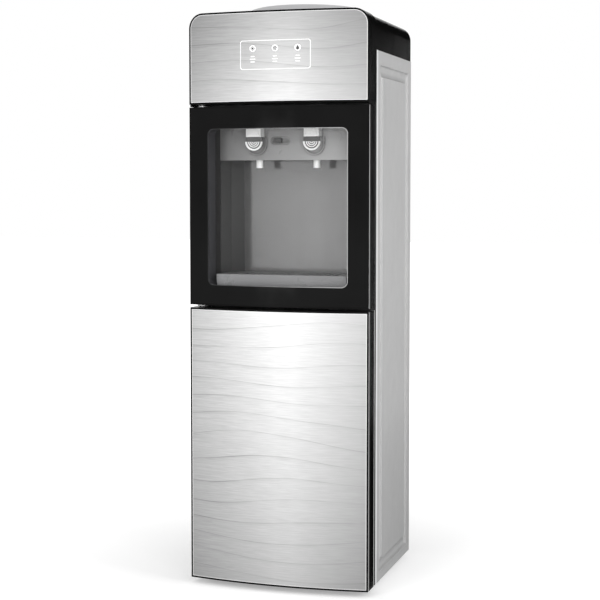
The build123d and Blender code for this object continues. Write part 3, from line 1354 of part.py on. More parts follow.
def condenser_tube():
    """Flat serpentine across the back."""
    edges = []
    side = 1
    start_x = COND_START_X
    for index in range(COND_PASSES):
        z = COND_Z1 - index * COND_PITCH
        last = index == COND_PASSES - 1
        end_x = COND_START_X if last else side * COND_HALF_W
        edges.append(Line((start_x, COND_Y, z), (end_x, COND_Y, z)))
        if not last:
            apex = (end_x + side * COND_PITCH / 2, COND_Y, z - COND_PITCH / 2)
            edges.append(ThreePointArc((end_x, COND_Y, z), apex, (end_x, COND_Y, z - COND_PITCH)))
        start_x = end_x
        side = -side
    path = Wire(edges)
    return sweep(Plane(origin=path @ 0, z_dir=path % 0) * Circle(COND_TUBE_R), path=path)


def condenser_wires():
    pieces = []
    offset = COND_TUBE_R + COND_WIRE_GAP + COND_WIRE_R
    half_count = int(COND_HALF_W / COND_WIRE_PITCH)
    for index in range(-half_count, half_count + 1):
        x = index * COND_WIRE_PITCH
        if abs(abs(x) - BRACKET_X) < BRACKET_W / 2 + COND_WIRE_R:
            continue
        for y in (COND_Y - offset, COND_Y + offset):
            low, high = COND_Z0 - COND_WIRE_OVER, COND_Z1 + COND_WIRE_OVER
            pieces.append(rod(COND_WIRE_R, (x, y, low), (x, y, high)))
    return group(pieces)


def condenser_brackets():
    """Blocks on the rear panel that the condenser clips into."""
    pieces = []
    for x in (-BRACKET_X, BRACKET_X):
        for index in (1, COND_PASSES - 2):
            z = COND_Z0 + index * COND_PITCH
            foot = block(
                x - BRACKET_W / 2, x + BRACKET_W / 2, PANEL_Y1, COND_Y + COND_TUBE_R + PAST,
                z - BRACKET_H / 2, z + BRACKET_H / 2,
            )
            clip = rod(COND_TUBE_R + BRACKET_CLEAR, (x - BRACKET_W, COND_Y, z), (x + BRACKET_W, COND_Y, z))
            pieces.append(foot - clip)
    return group(pieces)


def comp_mounts():
    return [(COMP_X + sx * COMP_MOUNT_X, COMP_Y + sy * COMP_MOUNT_Y) for sx in (-1, 1) for sy in (-1, 1)]


def comp_stubs():
    """Discharge and suction stubs on top of the compressor."""
    return [(COMP_X - COMP_STUB_X, COMP_Y + COMP_STUB_Y), (COMP_X + COMP_STUB_X, COMP_Y + COMP_STUB_Y)]


def compressor():
    """Domed hermetic shell on its mounting plate."""
    plate_z1 = COMP_Z0 + COMP_PLATE_T
    plate = block(
        COMP_X - COMP_PLATE_X / 2, COMP_X + COMP_PLATE_X / 2,
        COMP_Y - COMP_PLATE_Y / 2, COMP_Y + COMP_PLATE_Y / 2, COMP_Z0, plate_z1,
    )
    for x, y in comp_mounts():
        plate -= rod(GROMMET_NECK_R + HOLE_CLEAR, (x, y, COMP_Z0 - PAST), (x, y, plate_z1 + PAST))
    dome_r = (COMP_R ** 2 + COMP_DOME ** 2) / (2 * COMP_DOME)
    half_angle = math.asin(COMP_R / dome_r) / 2
    dome_mid = (dome_r * math.sin(half_angle), COMP_Z1 - dome_r * (1 - math.cos(half_angle)))
    outline = [
        Line((0, plate_z1), (COMP_R - COMP_DOME / 2, plate_z1)),
        Line((COMP_R - COMP_DOME / 2, plate_z1), (COMP_R, plate_z1 + COMP_DOME / 2)),
        Line((COMP_R, plate_z1 + COMP_DOME / 2), (COMP_R, COMP_Z1 - COMP_DOME)),
        ThreePointArc((COMP_R, COMP_Z1 - COMP_DOME), dome_mid, (0, COMP_Z1)),
        Line((0, COMP_Z1), (0, plate_z1)),
    ]
    shell = Pos(COMP_X, COMP_Y, 0) * revolve(Plane.XZ * make_face(outline), axis=Axis.Z)
    weld_z = COMP_Z1 - COMP_DOME - COMP_PLATE_T
    shell += rod(COMP_R + PAST, (COMP_X, COMP_Y, weld_z - COMP_PLATE_T), (COMP_X, COMP_Y, weld_z))
    for x, y in comp_stubs():
        shell += rod(COMP_STUB_R, (x, y, COMP_Z1 - COMP_DOME), (x, y, COMP_STUB_Z))
    return shell + plate


def compressor_grommets():
    pieces = []
    for x, y in comp_mounts():
        grommet = rod(GROMMET_R, (x, y, PAN_TOP), (x, y, COMP_Z0))
        pieces.append(grommet + rod(GROMMET_NECK_R, (x, y, COMP_Z0), (x, y, COMP_Z0 + GROMMET_NECK_H)))
    return group(pieces)


def terminal_cover():
    """Plastic cover of the relay on the compressor's right flank."""
    z0 = COMP_Z0 + COMP_PLATE_T + COMP_DOME
    x1 = COMP_X + COMP_R + COVER_BOX_T
    cover = block(COMP_X, x1, COMP_Y - COVER_BOX_W / 2, COMP_Y + COVER_BOX_W / 2, z0, z0 + COVER_BOX_H)
    cover = fillet(cover.edges().group_by(Axis.X)[-1], BOX_WALL)
    return cover - rod(COMP_R + HOLE_CLEAR, (COMP_X, COMP_Y, COMP_Z0), (COMP_X, COMP_Y, COMP_Z1))


def refrigerant_pipes():
    """Discharge, liquid, capillary and suction lines with the filter drier."""
    (dis_x, dis_y), (suc_x, suc_y) = comp_stubs()
    turn_z = COMP_STUB_Z + 3 * PIPE_BEND
    discharge = [
        (dis_x, dis_y, COMP_STUB_Z), (dis_x, dis_y, turn_z), (DISCHARGE_LANE_X, PIPE_LANE_Y, turn_z),
        (DISCHARGE_LANE_X, PIPE_LANE_Y, COND_Z1), (DISCHARGE_LANE_X, COND_Y, COND_Z1),
        (COND_START_X, COND_Y, COND_Z1),
    ]
    drier_z0 = COND_Z0 + DRIER_RISE
    drier_z1 = drier_z0 + DRIER_H
    liquid = [
        (COND_START_X, COND_Y, COND_Z0), (LIQUID_LANE_X, COND_Y, COND_Z0),
        (LIQUID_LANE_X, PIPE_LANE_Y, COND_Z0), (DRIER_X, PIPE_LANE_Y, COND_Z0),
        (DRIER_X, PIPE_LANE_Y, drier_z0),
    ]
    drier = rod(DRIER_R, (DRIER_X, PIPE_LANE_Y, drier_z0), (DRIER_X, PIPE_LANE_Y, drier_z1))
    drier = chamfer(drier.edges(), DRIER_R / 3)
    _, coil_in = coil_tail(-1, COIL_Z0)
    cross_z = drier_z1 + 3 * PIPE_BEND
    capillary = [
        (DRIER_X, PIPE_LANE_Y, drier_z1), (DRIER_X, PIPE_LANE_Y, cross_z),
        (coil_in.X, PIPE_LANE_Y, cross_z + 3 * PIPE_BEND), (coil_in.X, PIPE_LANE_Y, coil_in.Z),
        tuple(coil_in),
    ]
    _, coil_out = coil_tail(1, COIL_Z1)
    low_z = turn_z + 2 * PIPE_BEND
    lane_x = min(coil_out.X, SWITCH_X - switch_body_size(SWITCH_PIPE_GAP)[0] / 2 - SUCTION_R)
    suction = [
        tuple(coil_out), (lane_x, PIPE_LANE_Y, coil_out.Z), (lane_x, PIPE_LANE_Y, low_z),
        (suc_x, suc_y, low_z), (suc_x, suc_y, COMP_STUB_Z),
    ]
    return group([
        pipe(discharge, PIPE_R, PIPE_BEND), pipe(liquid, PIPE_R, PIPE_BEND), drier,
        pipe(capillary, CAPILLARY_R, PIPE_BEND), pipe(suction, SUCTION_R, PIPE_BEND),
    ])


# Electrical pieces

def power_box():
    """Control box on the base pan, shallow lid on top."""
    x0, x1 = BOX_X - BOX_W / 2, BOX_X + BOX_W / 2
    y0, y1 = BOX_Y - BOX_D / 2, BOX_Y + BOX_D / 2
    z1 = PAN_TOP + BOX_H
    case = block(x0, x1, y0, y1, PAN_TOP, z1)
    case -= block(x0 + BOX_WALL, x1 - BOX_WALL, y0 + BOX_WALL, y1 - BOX_WALL, PAN_TOP + BOX_WALL, z1)
    lid = block(x0, x1, y0, y1, z1, z1 + BOX_LID_T)
    return group([case, lid])


def power_inlet():
    """Mains inlet socket for a detachable lead."""
    inside = PANEL_Y1 - INLET_BODY_D
    body = block(
        INLET_X - INLET_W / 2, INLET_X + INLET_W / 2, inside, PANEL_Y1,
        DRAIN_Z - INLET_H / 2, DRAIN_Z + INLET_H / 2,
    )
    half_w = INLET_W / 2 + INLET_FLANGE
    half_h = INLET_H / 2 + INLET_FLANGE
    face = PANEL_Y1 + INLET_FLANGE_T
    body += block(INLET_X - half_w, INLET_X + half_w, PANEL_Y1, face, DRAIN_Z - half_h, DRAIN_Z + half_h)
    socket = Pos(INLET_X, DRAIN_Z) * Rectangle(INLET_SOCKET_W, INLET_SOCKET_H)
    socket = chamfer(socket.vertices().group_by(Axis.Y)[-1], INLET_SOCKET_H / 3)
    body -= front_view(socket, face - INLET_SOCKET_D, face + PAST)
    for column in (-1, 0, 1):
        x = INLET_X + column * INLET_SOCKET_W / 4
        z = DRAIN_Z + INLET_PIN_SHIFT * (1 - 2 * abs(column))
        body += block(
            x - INLET_PIN_W / 2, x + INLET_PIN_W / 2, face - INLET_SOCKET_D - PAST, face - INLET_PIN_DROP,
            z - INLET_PIN_H / 2, z + INLET_PIN_H / 2,
        )
    return body


def switch_body_size(clear):
    """Width and height of the switch housing behind the panel."""
    width = SWITCH_PITCH + SWITCH_WELL_W + 2 * SWITCH_WALL
    return width + 2 * clear, SWITCH_WELL_H + 2 * SWITCH_WALL + 2 * clear


def switch_xs():
    return (SWITCH_X - SWITCH_PITCH / 2, SWITCH_X + SWITCH_PITCH / 2)


def switch_housing():
    width, height = switch_body_size(0)
    face = PANEL_Y1 + SWITCH_PROUD
    place = Pos(SWITCH_X, SWITCH_Z)
    housing = front_view(place * Rectangle(width, height), PANEL_Y1 - SWITCH_BODY_D, PANEL_Y1)
    flange = RectangleRounded(width + 2 * SWITCH_FLANGE, height + 2 * SWITCH_FLANGE, SWITCH_FLANGE_R)
    housing += front_view(place * flange, PANEL_Y1, face)
    for x in switch_xs():
        well = Pos(x, SWITCH_Z) * Rectangle(SWITCH_WELL_W, SWITCH_WELL_H)
        housing -= front_view(well, PANEL_Y1 - SWITCH_BODY_D + SWITCH_WALL, face + PAST)
        reach = SWITCH_WELL_W / 2 + ROCKER_PIN_SOCKET
        socket_r = ROCKER_PIN_R + PIN_PLAY
        housing -= rod(socket_r, (x - reach, PANEL_Y1, SWITCH_Z), (x + reach, PANEL_Y1, SWITCH_Z))
    return housing


def switch_rocker(x):
    """Rocker at rest in its off position, tilted about its pin."""
    half_w = SWITCH_WELL_W / 2 - SWITCH_CLEAR
    half_h = ROCKER_H / 2
    rocker = block(-half_w, half_w, -ROCKER_BACK, ROCKER_PROUD, -half_h, half_h)
    dish_y = ROCKER_H + ROCKER_DISH
    rocker -= rod(ROCKER_H, (-half_w - PAST, dish_y, 0), (half_w + PAST, dish_y, 0))
    reach = SWITCH_WELL_W / 2 + ROCKER_PIN_REACH
    rocker += rod(ROCKER_PIN_R, (-reach, 0, 0), (reach, 0, 0))
    return Pos(x, PANEL_Y1, SWITCH_Z) * Rot(-ROCKER_TILT, 0, 0) * rocker


right_panel = side_panel()
hot_switch_x, cold_switch_x = switch_xs()
nodes = {
    "base_pan": base_pan(),
    "feet": feet(),
    "left_side_panel": mirrored(right_panel),
    "right_side_panel": right_panel,
    "rear_panel": rear_panel(),
    "rear_screws": rear_screws(),
    "front_frame": front_frame(),
    "top_cover": top_cover(),
    "fascia_frame": fascia_frame(),
    "fascia_glass": fascia_glass(),
    "indicator_board": indicator_board(),
    "indicator_lenses": indicator_lenses(),
    "hinge_brackets": hinge_brackets(),
    "alcove_liner": alcove_liner(),
    "storage_liner": storage_liner(),
    "tap_panel": tap_panel(),
    "tap_bezels": tap_bezels(),
    "tap_bodies": tap_bodies(),
    "tap_nozzles": tap_nozzles(),
    "hot_tap_spring": tap_spring(-TAP_X, "hot tap spring"),
    "cold_tap_spring": tap_spring(TAP_X, "cold tap spring"),
    "cold_tank": cold_tank(),
    "cold_tank_lid": tank_lid(),
    "tank_foam": tank_foam(),
    "evaporator_coil": evaporator_coil(),
    "hot_tank": hot_tank(),
    "water_hoses": water_hoses(),
    "drain_spouts": drain_spouts(),
    "compressor": compressor(),
    "compressor_grommets": compressor_grommets(),
    "terminal_cover": terminal_cover(),
    "refrigerant_pipes": refrigerant_pipes(),
    "condenser_tube": condenser_tube(),
    "condenser_wires": condenser_wires(),
    "condenser_brackets": condenser_brackets(),
    "power_box": power_box(),
    "power_inlet": power_inlet(),
    "switch_housing": switch_housing(),
    "glass_door_frame": glass_door_frame(),
    "glass_door_back": glass_door_back(),
    "glass_door_glass": door_pane(0, GLASS_T, GLASS_Z0, GLASS_Z1),
    "glass_door_gasket": glass_door_gasket(),
    "glass_door_trim": door_trim(GLASS_Z0, GLASS_Z1),
    "lower_door_frame": lower_door_frame(),
    "lower_door_back": lower_door_back(),
    "lower_door_glass": door_pane(0, GLASS_T, LOWER_Z0, LOWER_Z1),
    "lower_door_gasket": lower_door_gasket(),
    "lower_door_trim": door_trim(LOWER_Z0, LOWER_Z1),
    "hot_tap_lever": tap_lever(-TAP_X),
    "cold_tap_lever": tap_lever(TAP_X),
    "hot_tap_stem": tap_stem(-TAP_X),
    "cold_tap_stem": tap_stem(TAP_X),
    "lock_slider": lock_slider(),
    "drip_tray": drip_tray(),
    "drip_grille": drip_grille(),
    "bottle_collar": bottle_collar(),
    "hot_switch_rocker": switch_rocker(hot_switch_x),
    "cold_switch_rocker": switch_rocker(cold_switch_x),
    "hot_drain_plug": drain_plug(HOT_DRAIN_X),
    "cold_drain_plug": drain_plug(COLD_DRAIN_X),
}

os.makedirs("parts", exist_ok=True)
for name, shape in nodes.items():
    export_step(shape, f"parts/{name}.step")
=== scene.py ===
import math

import bmesh
import bpy
from mathutils import Matrix, Vector


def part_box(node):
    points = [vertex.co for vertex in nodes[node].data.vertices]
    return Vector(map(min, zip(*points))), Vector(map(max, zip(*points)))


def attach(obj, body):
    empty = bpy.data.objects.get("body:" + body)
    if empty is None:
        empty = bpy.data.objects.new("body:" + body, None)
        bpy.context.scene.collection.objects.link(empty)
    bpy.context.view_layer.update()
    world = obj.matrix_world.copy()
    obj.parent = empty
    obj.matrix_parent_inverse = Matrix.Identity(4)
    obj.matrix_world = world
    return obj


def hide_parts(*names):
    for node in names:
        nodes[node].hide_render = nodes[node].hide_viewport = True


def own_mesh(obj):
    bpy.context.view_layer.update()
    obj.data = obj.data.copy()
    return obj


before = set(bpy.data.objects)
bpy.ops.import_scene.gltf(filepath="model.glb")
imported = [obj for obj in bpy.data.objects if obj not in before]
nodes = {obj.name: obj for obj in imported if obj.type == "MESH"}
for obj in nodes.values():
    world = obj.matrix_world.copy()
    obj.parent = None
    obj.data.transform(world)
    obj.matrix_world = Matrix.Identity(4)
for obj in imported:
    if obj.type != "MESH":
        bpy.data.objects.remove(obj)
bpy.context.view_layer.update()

# Sizes that the looks share with the solids, in metres
MM = 0.001
HALF_W = 157 * MM
FRONT_Y = -161 * MM
BOW = 14 * MM
BOW_R = (HALF_W ** 2 + BOW ** 2) / (2 * BOW)
RIM = 3 * MM
FASCIA_CORNER = 22 * MM
INDICATOR_X = 39 * MM
INDICATOR_Z = 908 * MM
WINDOW_HALF = 122 * MM
WINDOW_Z0 = 515 * MM
WINDOW_Z1 = 776.6 * MM
WINDOW_R = 10 * MM
REVEAL = 3.2 * MM
CHEEK_X = 109.6 * MM
TRIM_LIP_Y = -143.25 * MM
LOCK_TAB_Y = -101 * MM

# Taps
TAP_X = 51 * MM
PIVOT_Z = 772 * MM
PIVOT_DROP = 7 * MM
LEVER_Z = 756 * MM
# The lever's ridges and rim carry painted highlights laid out by these sizes
LEVER_HUB = 1.8 * MM
LEVER_RIM = 11.9 * MM
RIDGE_PITCH = 3.2 * MM
RIDGE_REACH = 10.2 * MM
RIDGE_SHARE = 0.55

# Groove pressed in the side sheets
GROOVE_Y0 = -77 * MM
GROOVE_Y1 = 123 * MM
GROOVE_RISE = 16 * MM
GROOVE_DROP = 23 * MM
GROOVE_W = 19.5 * MM
GROOVE_DEPTH = 4 * MM
GROOVE_EDGE = 1.4 * MM
# Painted highlight along the front fold of the side sheets, between these depths
FOLD_START = 8 * MM
FOLD_END = 10 * MM

# Paint on the side sheets, with painted shade that makes it a little darker lower down
PAINT_Z = (0.0, 500 * MM)
PAINT_SHADE_TONES = (0.43, 0.48)
PAINT_MOTTLE = 0.02
PAINT_GRAIN = 0.02 * MM
# Painted highlight on the front fold
FOLD_HIGHLIGHT = 0.82

# Silver print, with painted shade that darkens it to the left and right of the middle
FADE_X = 150 * MM
SILVER_LEFT_SHADE = 0.62
SILVER_RIGHT_SHADE = 0.57
DASH_STRETCH = (30.0, 30.0, 900.0)
DASH_LEFT = 0.26
DASH_RIGHT = 0.13
DASH_MIDDLE = 0.58
GROUND_EDGE = (0.6 * MM, 1.1 * MM)
GROUND_SHARE = 0.8

# Lines in the silver print, with their core, shade, sway and drift as shares of the spacing
LINE_SPACING = 33 * MM
LINE_DARKNESS = 0.5
LINE_CORE = (0.006, 0.028)
LINE_RIGHT = 0.45
SHADE_REACH = 0.2
SHADE_DARKNESS = 0.3
SWAY = 0.22
SWAY_ACROSS = 13.0
SWAY_UP = 21.0
DRIFT = 1.6
DRIFT_STRETCH = (3.0, 0.0, 5.0)
PATCH_STRETCH = (8.0, 0.0, 10.0)
PATCH_FAINTEST = 0.2

# Print and clear window of the glass door, with a painted highlight line round the window
EDGE_SOFT = 0.1 * MM
WINDOW_GLINT = (0.3 * MM, 0.7 * MM)
WINDOW_GLINT_X = 120 * MM
WINDOW_GLINT_TONES = (0.05, 0.7)
CLEAR_ALPHA = 0.03

# Painted shade in the alcove and on the tap panel: greys that lighten from left to right
ALCOVE_X = 100 * MM
ALCOVE_SHADE_TONES = (0.105, 0.235)
ALCOVE_MOTTLE = 0.06
TAP_PANEL_X = 118 * MM
TAP_PANEL_SHADE_TONES = (0.145, 0.47)
TAP_PANEL_MOTTLE = 0.08

# Wear and painted shade: the reach of grime and painted corner shade in mm, and shares of a finish's
# roughness
GRIME_AND_SHADE_REACH = 6
TAP_SHADE_REACH = 4
SMOOTHEST = 0.85
ROUGHEST = 1.2

# Indicator ink: the lift and sink are from the bowed face
INK_LIFT = 0.1 * MM
INK_SINK = 0.3 * MM
SIGN_LIFT = 0.12 * MM
FIELD_HALF = 61 * MM
FIELD_Z0 = 873.5 * MM
FIELD_Z1 = 921.3 * MM
FIELD_R = 4 * MM
FIELD_LINE = 0.9 * MM
OUTLINE_STEP = 6 * MM
LABEL_BARS = ((7 * MM, 895 * MM), (10 * MM, 890.5 * MM), (8 * MM, 886 * MM))
LABEL_HALF = 0.7 * MM
LABEL_R = 0.65 * MM
SUN_RAYS = 8
SUN_R = 1.7 * MM
FLAKE_ARMS = 6
DROP_R = 2.7 * MM
DROP_TIP = 4.2 * MM
DROP_SINK = 1.2 * MM
DROP_STEPS = 12
DROP_START = 155
DROP_SWEEP = 230

# Raised shields on the tap blocks
CAP_FOOT_HALF = 11.6 * MM
CAP_HALF = 9 * MM
CAP_FOOT_Z = 764.8 * MM
CAP_WAIST_Z = 771 * MM
CAP_HEAD_Z = 778.2 * MM
CAP_MIDDLE_Z = 771.5 * MM
CAP_SINK = 0.2 * MM
CAP_RISE = 0.9 * MM
CAP_EDGE = 0.4 * MM
CAP_NARROWER = 0.93
CAP_SHORTER = 0.94

# Lip under the tray's front
APRON_DROP = 4.4 * MM
APRON_RISE = 0.6 * MM
APRON_PROUD = 0.1 * MM
APRON_BACK = 1.9 * MM
APRON_IN = 0.5 * MM
APRON_EDGE = 0.5 * MM

# Skirts under the fascia's side walls
SKIRT_DROP = 3.9 * MM
SKIRT_RISE = 0.2 * MM
SKIRT_FRONT = 17 * MM
SKIRT_BACK = 4 * MM
SKIRT_IN = 1.2 * MM
SKIRT_HALF = 1 * MM
SKIRT_EDGE = 0.3 * MM

# Door seals: the width, height and lift of the foot, the bellows and the magnet strip
SEAL_W = 10 * MM
SEAL_LAYERS = ((SEAL_W, 1.4 * MM, 0.7 * MM), (4.6 * MM, 2.2 * MM, 2.2 * MM), (9 * MM, 1.6 * MM, 3.9 * MM))
SEAL_CORNER = 3 * MM
SEAL_EDGE = 0.5 * MM
MERGE = 0.001 * MM

# Camera at the photograph's angle
LENS = 85.574
SENSOR = 36.0
LENS_SHIFT = -0.05
VIEW_END = 60.0
CAMERA_PLACE = (0.7562, -2.3958, 0.6846)
CAMERA_AIM = (0.03895, -0.147, 0.54255)

# Studio, in metres and watts
FLOOR_REACH = 14.0
FLOOR_FADE = (0.2, 1.4)
FLOOR_LIFT = (0.32, 1.0)
WORLD_STRENGTH = 0.45
CARD_Y = 1.6
CARD_X0 = 0.03
CARD_X1 = 0.42
CARD_X2 = 1.8
CARD_Z0 = 1.1
CARD_Z1 = 2.2
CARD_Z2 = 2.4
FLOOR_CARD_X = (0.165, 0.3, 1.3)
FLOOR_CARD_Y = -0.12
FLOOR_CARD_Z = 0.001


# Scene helpers

def new_object(name, data):
    """Object of this data, linked to the scene."""
    made = bpy.data.objects.new(name, data)
    bpy.context.scene.collection.objects.link(made)
    return made


def facing(place, aim):
    """Turn of a camera or lamp that looks from one point to another."""
    return (Vector(aim) - Vector(place)).to_track_quat("-Z", "Y").to_euler()


def add_camera():
    data = bpy.data.cameras.new("camera")
    data.lens = LENS
    data.sensor_width = SENSOR
    data.shift_y = LENS_SHIFT
    data.clip_end = VIEW_END
    camera = new_object("camera", data)
    camera.location = CAMERA_PLACE
    camera.rotation_euler = facing(CAMERA_PLACE, CAMERA_AIM)
    bpy.context.scene.camera = camera


# Node helpers

def feed(tree, socket, value):
    """Link a socket to another, or set its value."""
    if isinstance(value, bpy.types.NodeSocket):
        tree.links.new(value, socket)
    else:
        socket.default_value = value


def put(tree, kind, inputs=None, **settings):
    """Add a node with its settings and inputs."""
    made = tree.nodes.new(kind)
    for name, value in settings.items():
        setattr(made, name, value)
    for name, value in (inputs or {}).items():
        feed(tree, made.inputs[name], value)
    return made


def calc(tree, operation, *values):
    """Math node on one, two or three values."""
    made = put(tree, "ShaderNodeMath", operation=operation)
    for index, value in enumerate(values):
        feed(tree, made.inputs[index], value)
    return made.outputs[0]


def remap(tree, value, taken, given=(0.0, 1.0)):
    """Value taken from one range to another, held at its ends."""
    return put(tree, "ShaderNodeMapRange", {
        "Value": value,
        "From Min": taken[0],
        "From Max": taken[1],
        "To Min": given[0],
        "To Max": given[1],
    }).outputs[0]


def past(tree, value, place, soft, given=(0.0, 1.0)):
    """Soft step from one value to the other at a place."""
    return remap(tree, value, (place - soft, place + soft), given)


def between(tree, value, start, end):
    """Distance in from the nearer of two ends."""
    from_start = calc(tree, "SUBTRACT", value, start)
    from_end = calc(tree, "SUBTRACT", end, value)
    return calc(tree, "MINIMUM", from_start, from_end)


def blend_colour(tree, factor, first, second):
    made = put(tree, "ShaderNodeMix", data_type="RGBA")
    feed(tree, made.inputs[0], factor)
    feed(tree, made.inputs[6], first)
    feed(tree, made.inputs[7], second)
    return made.outputs[2]


def grey(value):
    return (value, value, value, 1.0)


def grey_of(tree, value):
    """Grey whose tone changes over the surface."""
    return put(tree, "ShaderNodeCombineColor", {"Red": value, "Green": value, "Blue": value}).outputs[0]


def tinted(colour, share):
    """Colour made darker or lighter by a share."""
    return (*(min(part * share, 1.0) for part in colour[:3]), 1.0)


def new_group(name, inputs, outputs):
    """Empty shader group with named float sockets."""
    group = bpy.data.node_groups.new(name, "ShaderNodeTree")
    for in_out, sockets in (("INPUT", inputs), ("OUTPUT", outputs)):
        for socket in sockets:
            group.interface.new_socket(name=socket, in_out=in_out, socket_type="NodeSocketFloat")
    return group, put(group, "NodeGroupInput").outputs, put(group, "NodeGroupOutput").inputs


def object_xyz(tree):
    """Object coordinates and their three parts."""
    place = put(tree, "ShaderNodeTexCoord").outputs["Object"]
    return place, put(tree, "ShaderNodeSeparateXYZ", {0: place}).outputs


def noise(tree, place, scale, detail=2.0, roughness=0.5):
    return put(tree, "ShaderNodeTexNoise", {
        "Vector": place,
        "Scale": scale,
        "Detail": detail,
        "Roughness": roughness,
    }).outputs[0]


def stretched(tree, place, scale):
    return put(tree, "ShaderNodeMapping", {"Vector": place, "Scale": scale}).outputs[0]


# Shared effects

def moulded_grain():
    """Fine grain, handling smudges and a broad change of tone."""
    group, given, result = new_group("moulded_grain", ["Grain Size"], ["Height", "Smudge", "Tone"])
    place, _ = object_xyz(group)
    feed(group, result["Height"], noise(group, place, calc(group, "DIVIDE", 1.0, given["Grain Size"])))
    smudge = noise(group, stretched(group, place, (1.0, 1.0, 0.6)), scale=38.0, detail=4.0, roughness=0.62)
    feed(group, result["Smudge"], remap(group, smudge, (0.36, 0.66)))
    tone = noise(group, place, scale=9.0, detail=3.0)
    feed(group, result["Tone"], remap(group, tone, (0.35, 0.65)))
    return group


def pane_edge():
    """Distance in from the edge of a rounded pane that may be cut off flat below."""
    sockets = ["Half Width", "Bottom", "Top", "Corner", "Cut"]
    group, given, result = new_group("pane_edge", sockets, ["Inset"])
    _, xyz = object_xyz(group)
    corner = given["Corner"]
    middle = calc(group, "MULTIPLY", calc(group, "ADD", given["Top"], given["Bottom"]), 0.5)
    half_height = calc(group, "SUBTRACT", given["Top"], middle)
    from_middle = calc(group, "ABSOLUTE", calc(group, "SUBTRACT", xyz[2], middle))
    past_half = calc(group, "SUBTRACT", calc(group, "ABSOLUTE", xyz[0]), given["Half Width"])
    across = calc(group, "ADD", past_half, corner)
    up = calc(group, "ADD", calc(group, "SUBTRACT", from_middle, half_height), corner)
    past_side = calc(group, "MAXIMUM", across, 0.0)
    past_end = calc(group, "MAXIMUM", up, 0.0)
    squares = calc(group, "MULTIPLY_ADD", past_end, past_end, calc(group, "MULTIPLY", past_side, past_side))
    inner = calc(group, "MINIMUM", calc(group, "MAXIMUM", across, up), 0.0)
    rounded = calc(group, "SUBTRACT", corner, calc(group, "ADD", calc(group, "SQRT", squares), inner))
    flat = calc(group, "SUBTRACT", xyz[2], given["Cut"])
    feed(group, result["Inset"], calc(group, "MINIMUM", rounded, flat))
    return group


def crevice_shade():
    """Soft grime and painted shade that gather in corners."""
    group, given, result = new_group("crevice_shade", ["Reach"], ["Open"])
    hollow = put(group, "ShaderNodeAmbientOcclusion", {"Distance": given["Reach"]}, samples=6)
    feed(group, result["Open"], remap(group, hollow.outputs["AO"], (0.2, 0.9)))
    return group


GRAIN = moulded_grain()
PANE_EDGE = pane_edge()
CREVICE = crevice_shade()


def grain_of(tree, size):
    """Outputs of the shared grain, whose size is in mm."""
    return put(tree, "ShaderNodeGroup", {"Grain Size": size * MM}, node_tree=GRAIN).outputs


def open_share(tree, reach):
    """One on open surfaces, and down to zero in corners within this reach in mm."""
    return put(tree, "ShaderNodeGroup", {"Reach": reach * MM}, node_tree=CREVICE).outputs["Open"]


def inset_from(tree, half_width, bottom, top, corner, cut):
    """Distance in from the edge of one pane."""
    sizes = {"Half Width": half_width, "Bottom": bottom, "Top": top, "Corner": corner, "Cut": cut}
    return put(tree, "ShaderNodeGroup", sizes, node_tree=PANE_EDGE).outputs["Inset"]


# Materials

def blank_material(name, **sockets):
    """Material with a Principled shader and its constant sockets."""
    material = bpy.data.materials.new(name)
    material.use_nodes = True
    tree = material.node_tree
    shader = tree.nodes["Principled BSDF"]
    for socket, value in sockets.items():
        shader.inputs[socket.replace("_", " ")].default_value = value
    return material, tree, shader.inputs


def add_relief(tree, shader, height, depth, edge):
    """Bump of this depth over edges softened by this much, both in mm."""
    soft_edge = put(tree, "ShaderNodeBevel", {"Radius": edge * MM}, samples=4).outputs[0]
    bump = put(tree, "ShaderNodeBump", {
        "Height": height,
        "Distance": depth * MM,
        "Strength": 1.0,
        "Normal": soft_edge,
    })
    feed(tree, shader["Normal"], bump.outputs[0])


def roughen(tree, shader, value, low, high):
    """Roughness that follows a value between zero and one."""
    feed(tree, shader["Roughness"], remap(tree, value, (0.0, 1.0), (low, high)))


def mottled_grey(tree, grain, low, high):
    return blend_colour(tree, grain["Tone"], grey(low), grey(high))


def finish(name, colour, rough, grain=0.8, depth=0.01, tone=0.06, edge=0.6, grime_and_shade=0.12, **sockets):
    """Moulded, painted or drawn surface: grain, depth and edge in mm, tone and grime with painted corner
    shade as shares.
    """
    material, tree, shader = blank_material(name, **sockets)
    made = grain_of(tree, grain)
    plain = blend_colour(tree, made["Tone"], tinted(colour, 1 - tone), tinted(colour, 1 + tone))
    # Darker in corners: grime and painted shade
    grimed_and_shaded = blend_colour(tree, open_share(tree, GRIME_AND_SHADE_REACH), tinted(colour, 1 - grime_and_shade), plain)
    feed(tree, shader["Base Color"], grimed_and_shaded)
    roughen(tree, shader, made["Smudge"], rough * SMOOTHEST, rough * ROUGHEST)
    add_relief(tree, shader, made["Height"], depth, edge)
    return material


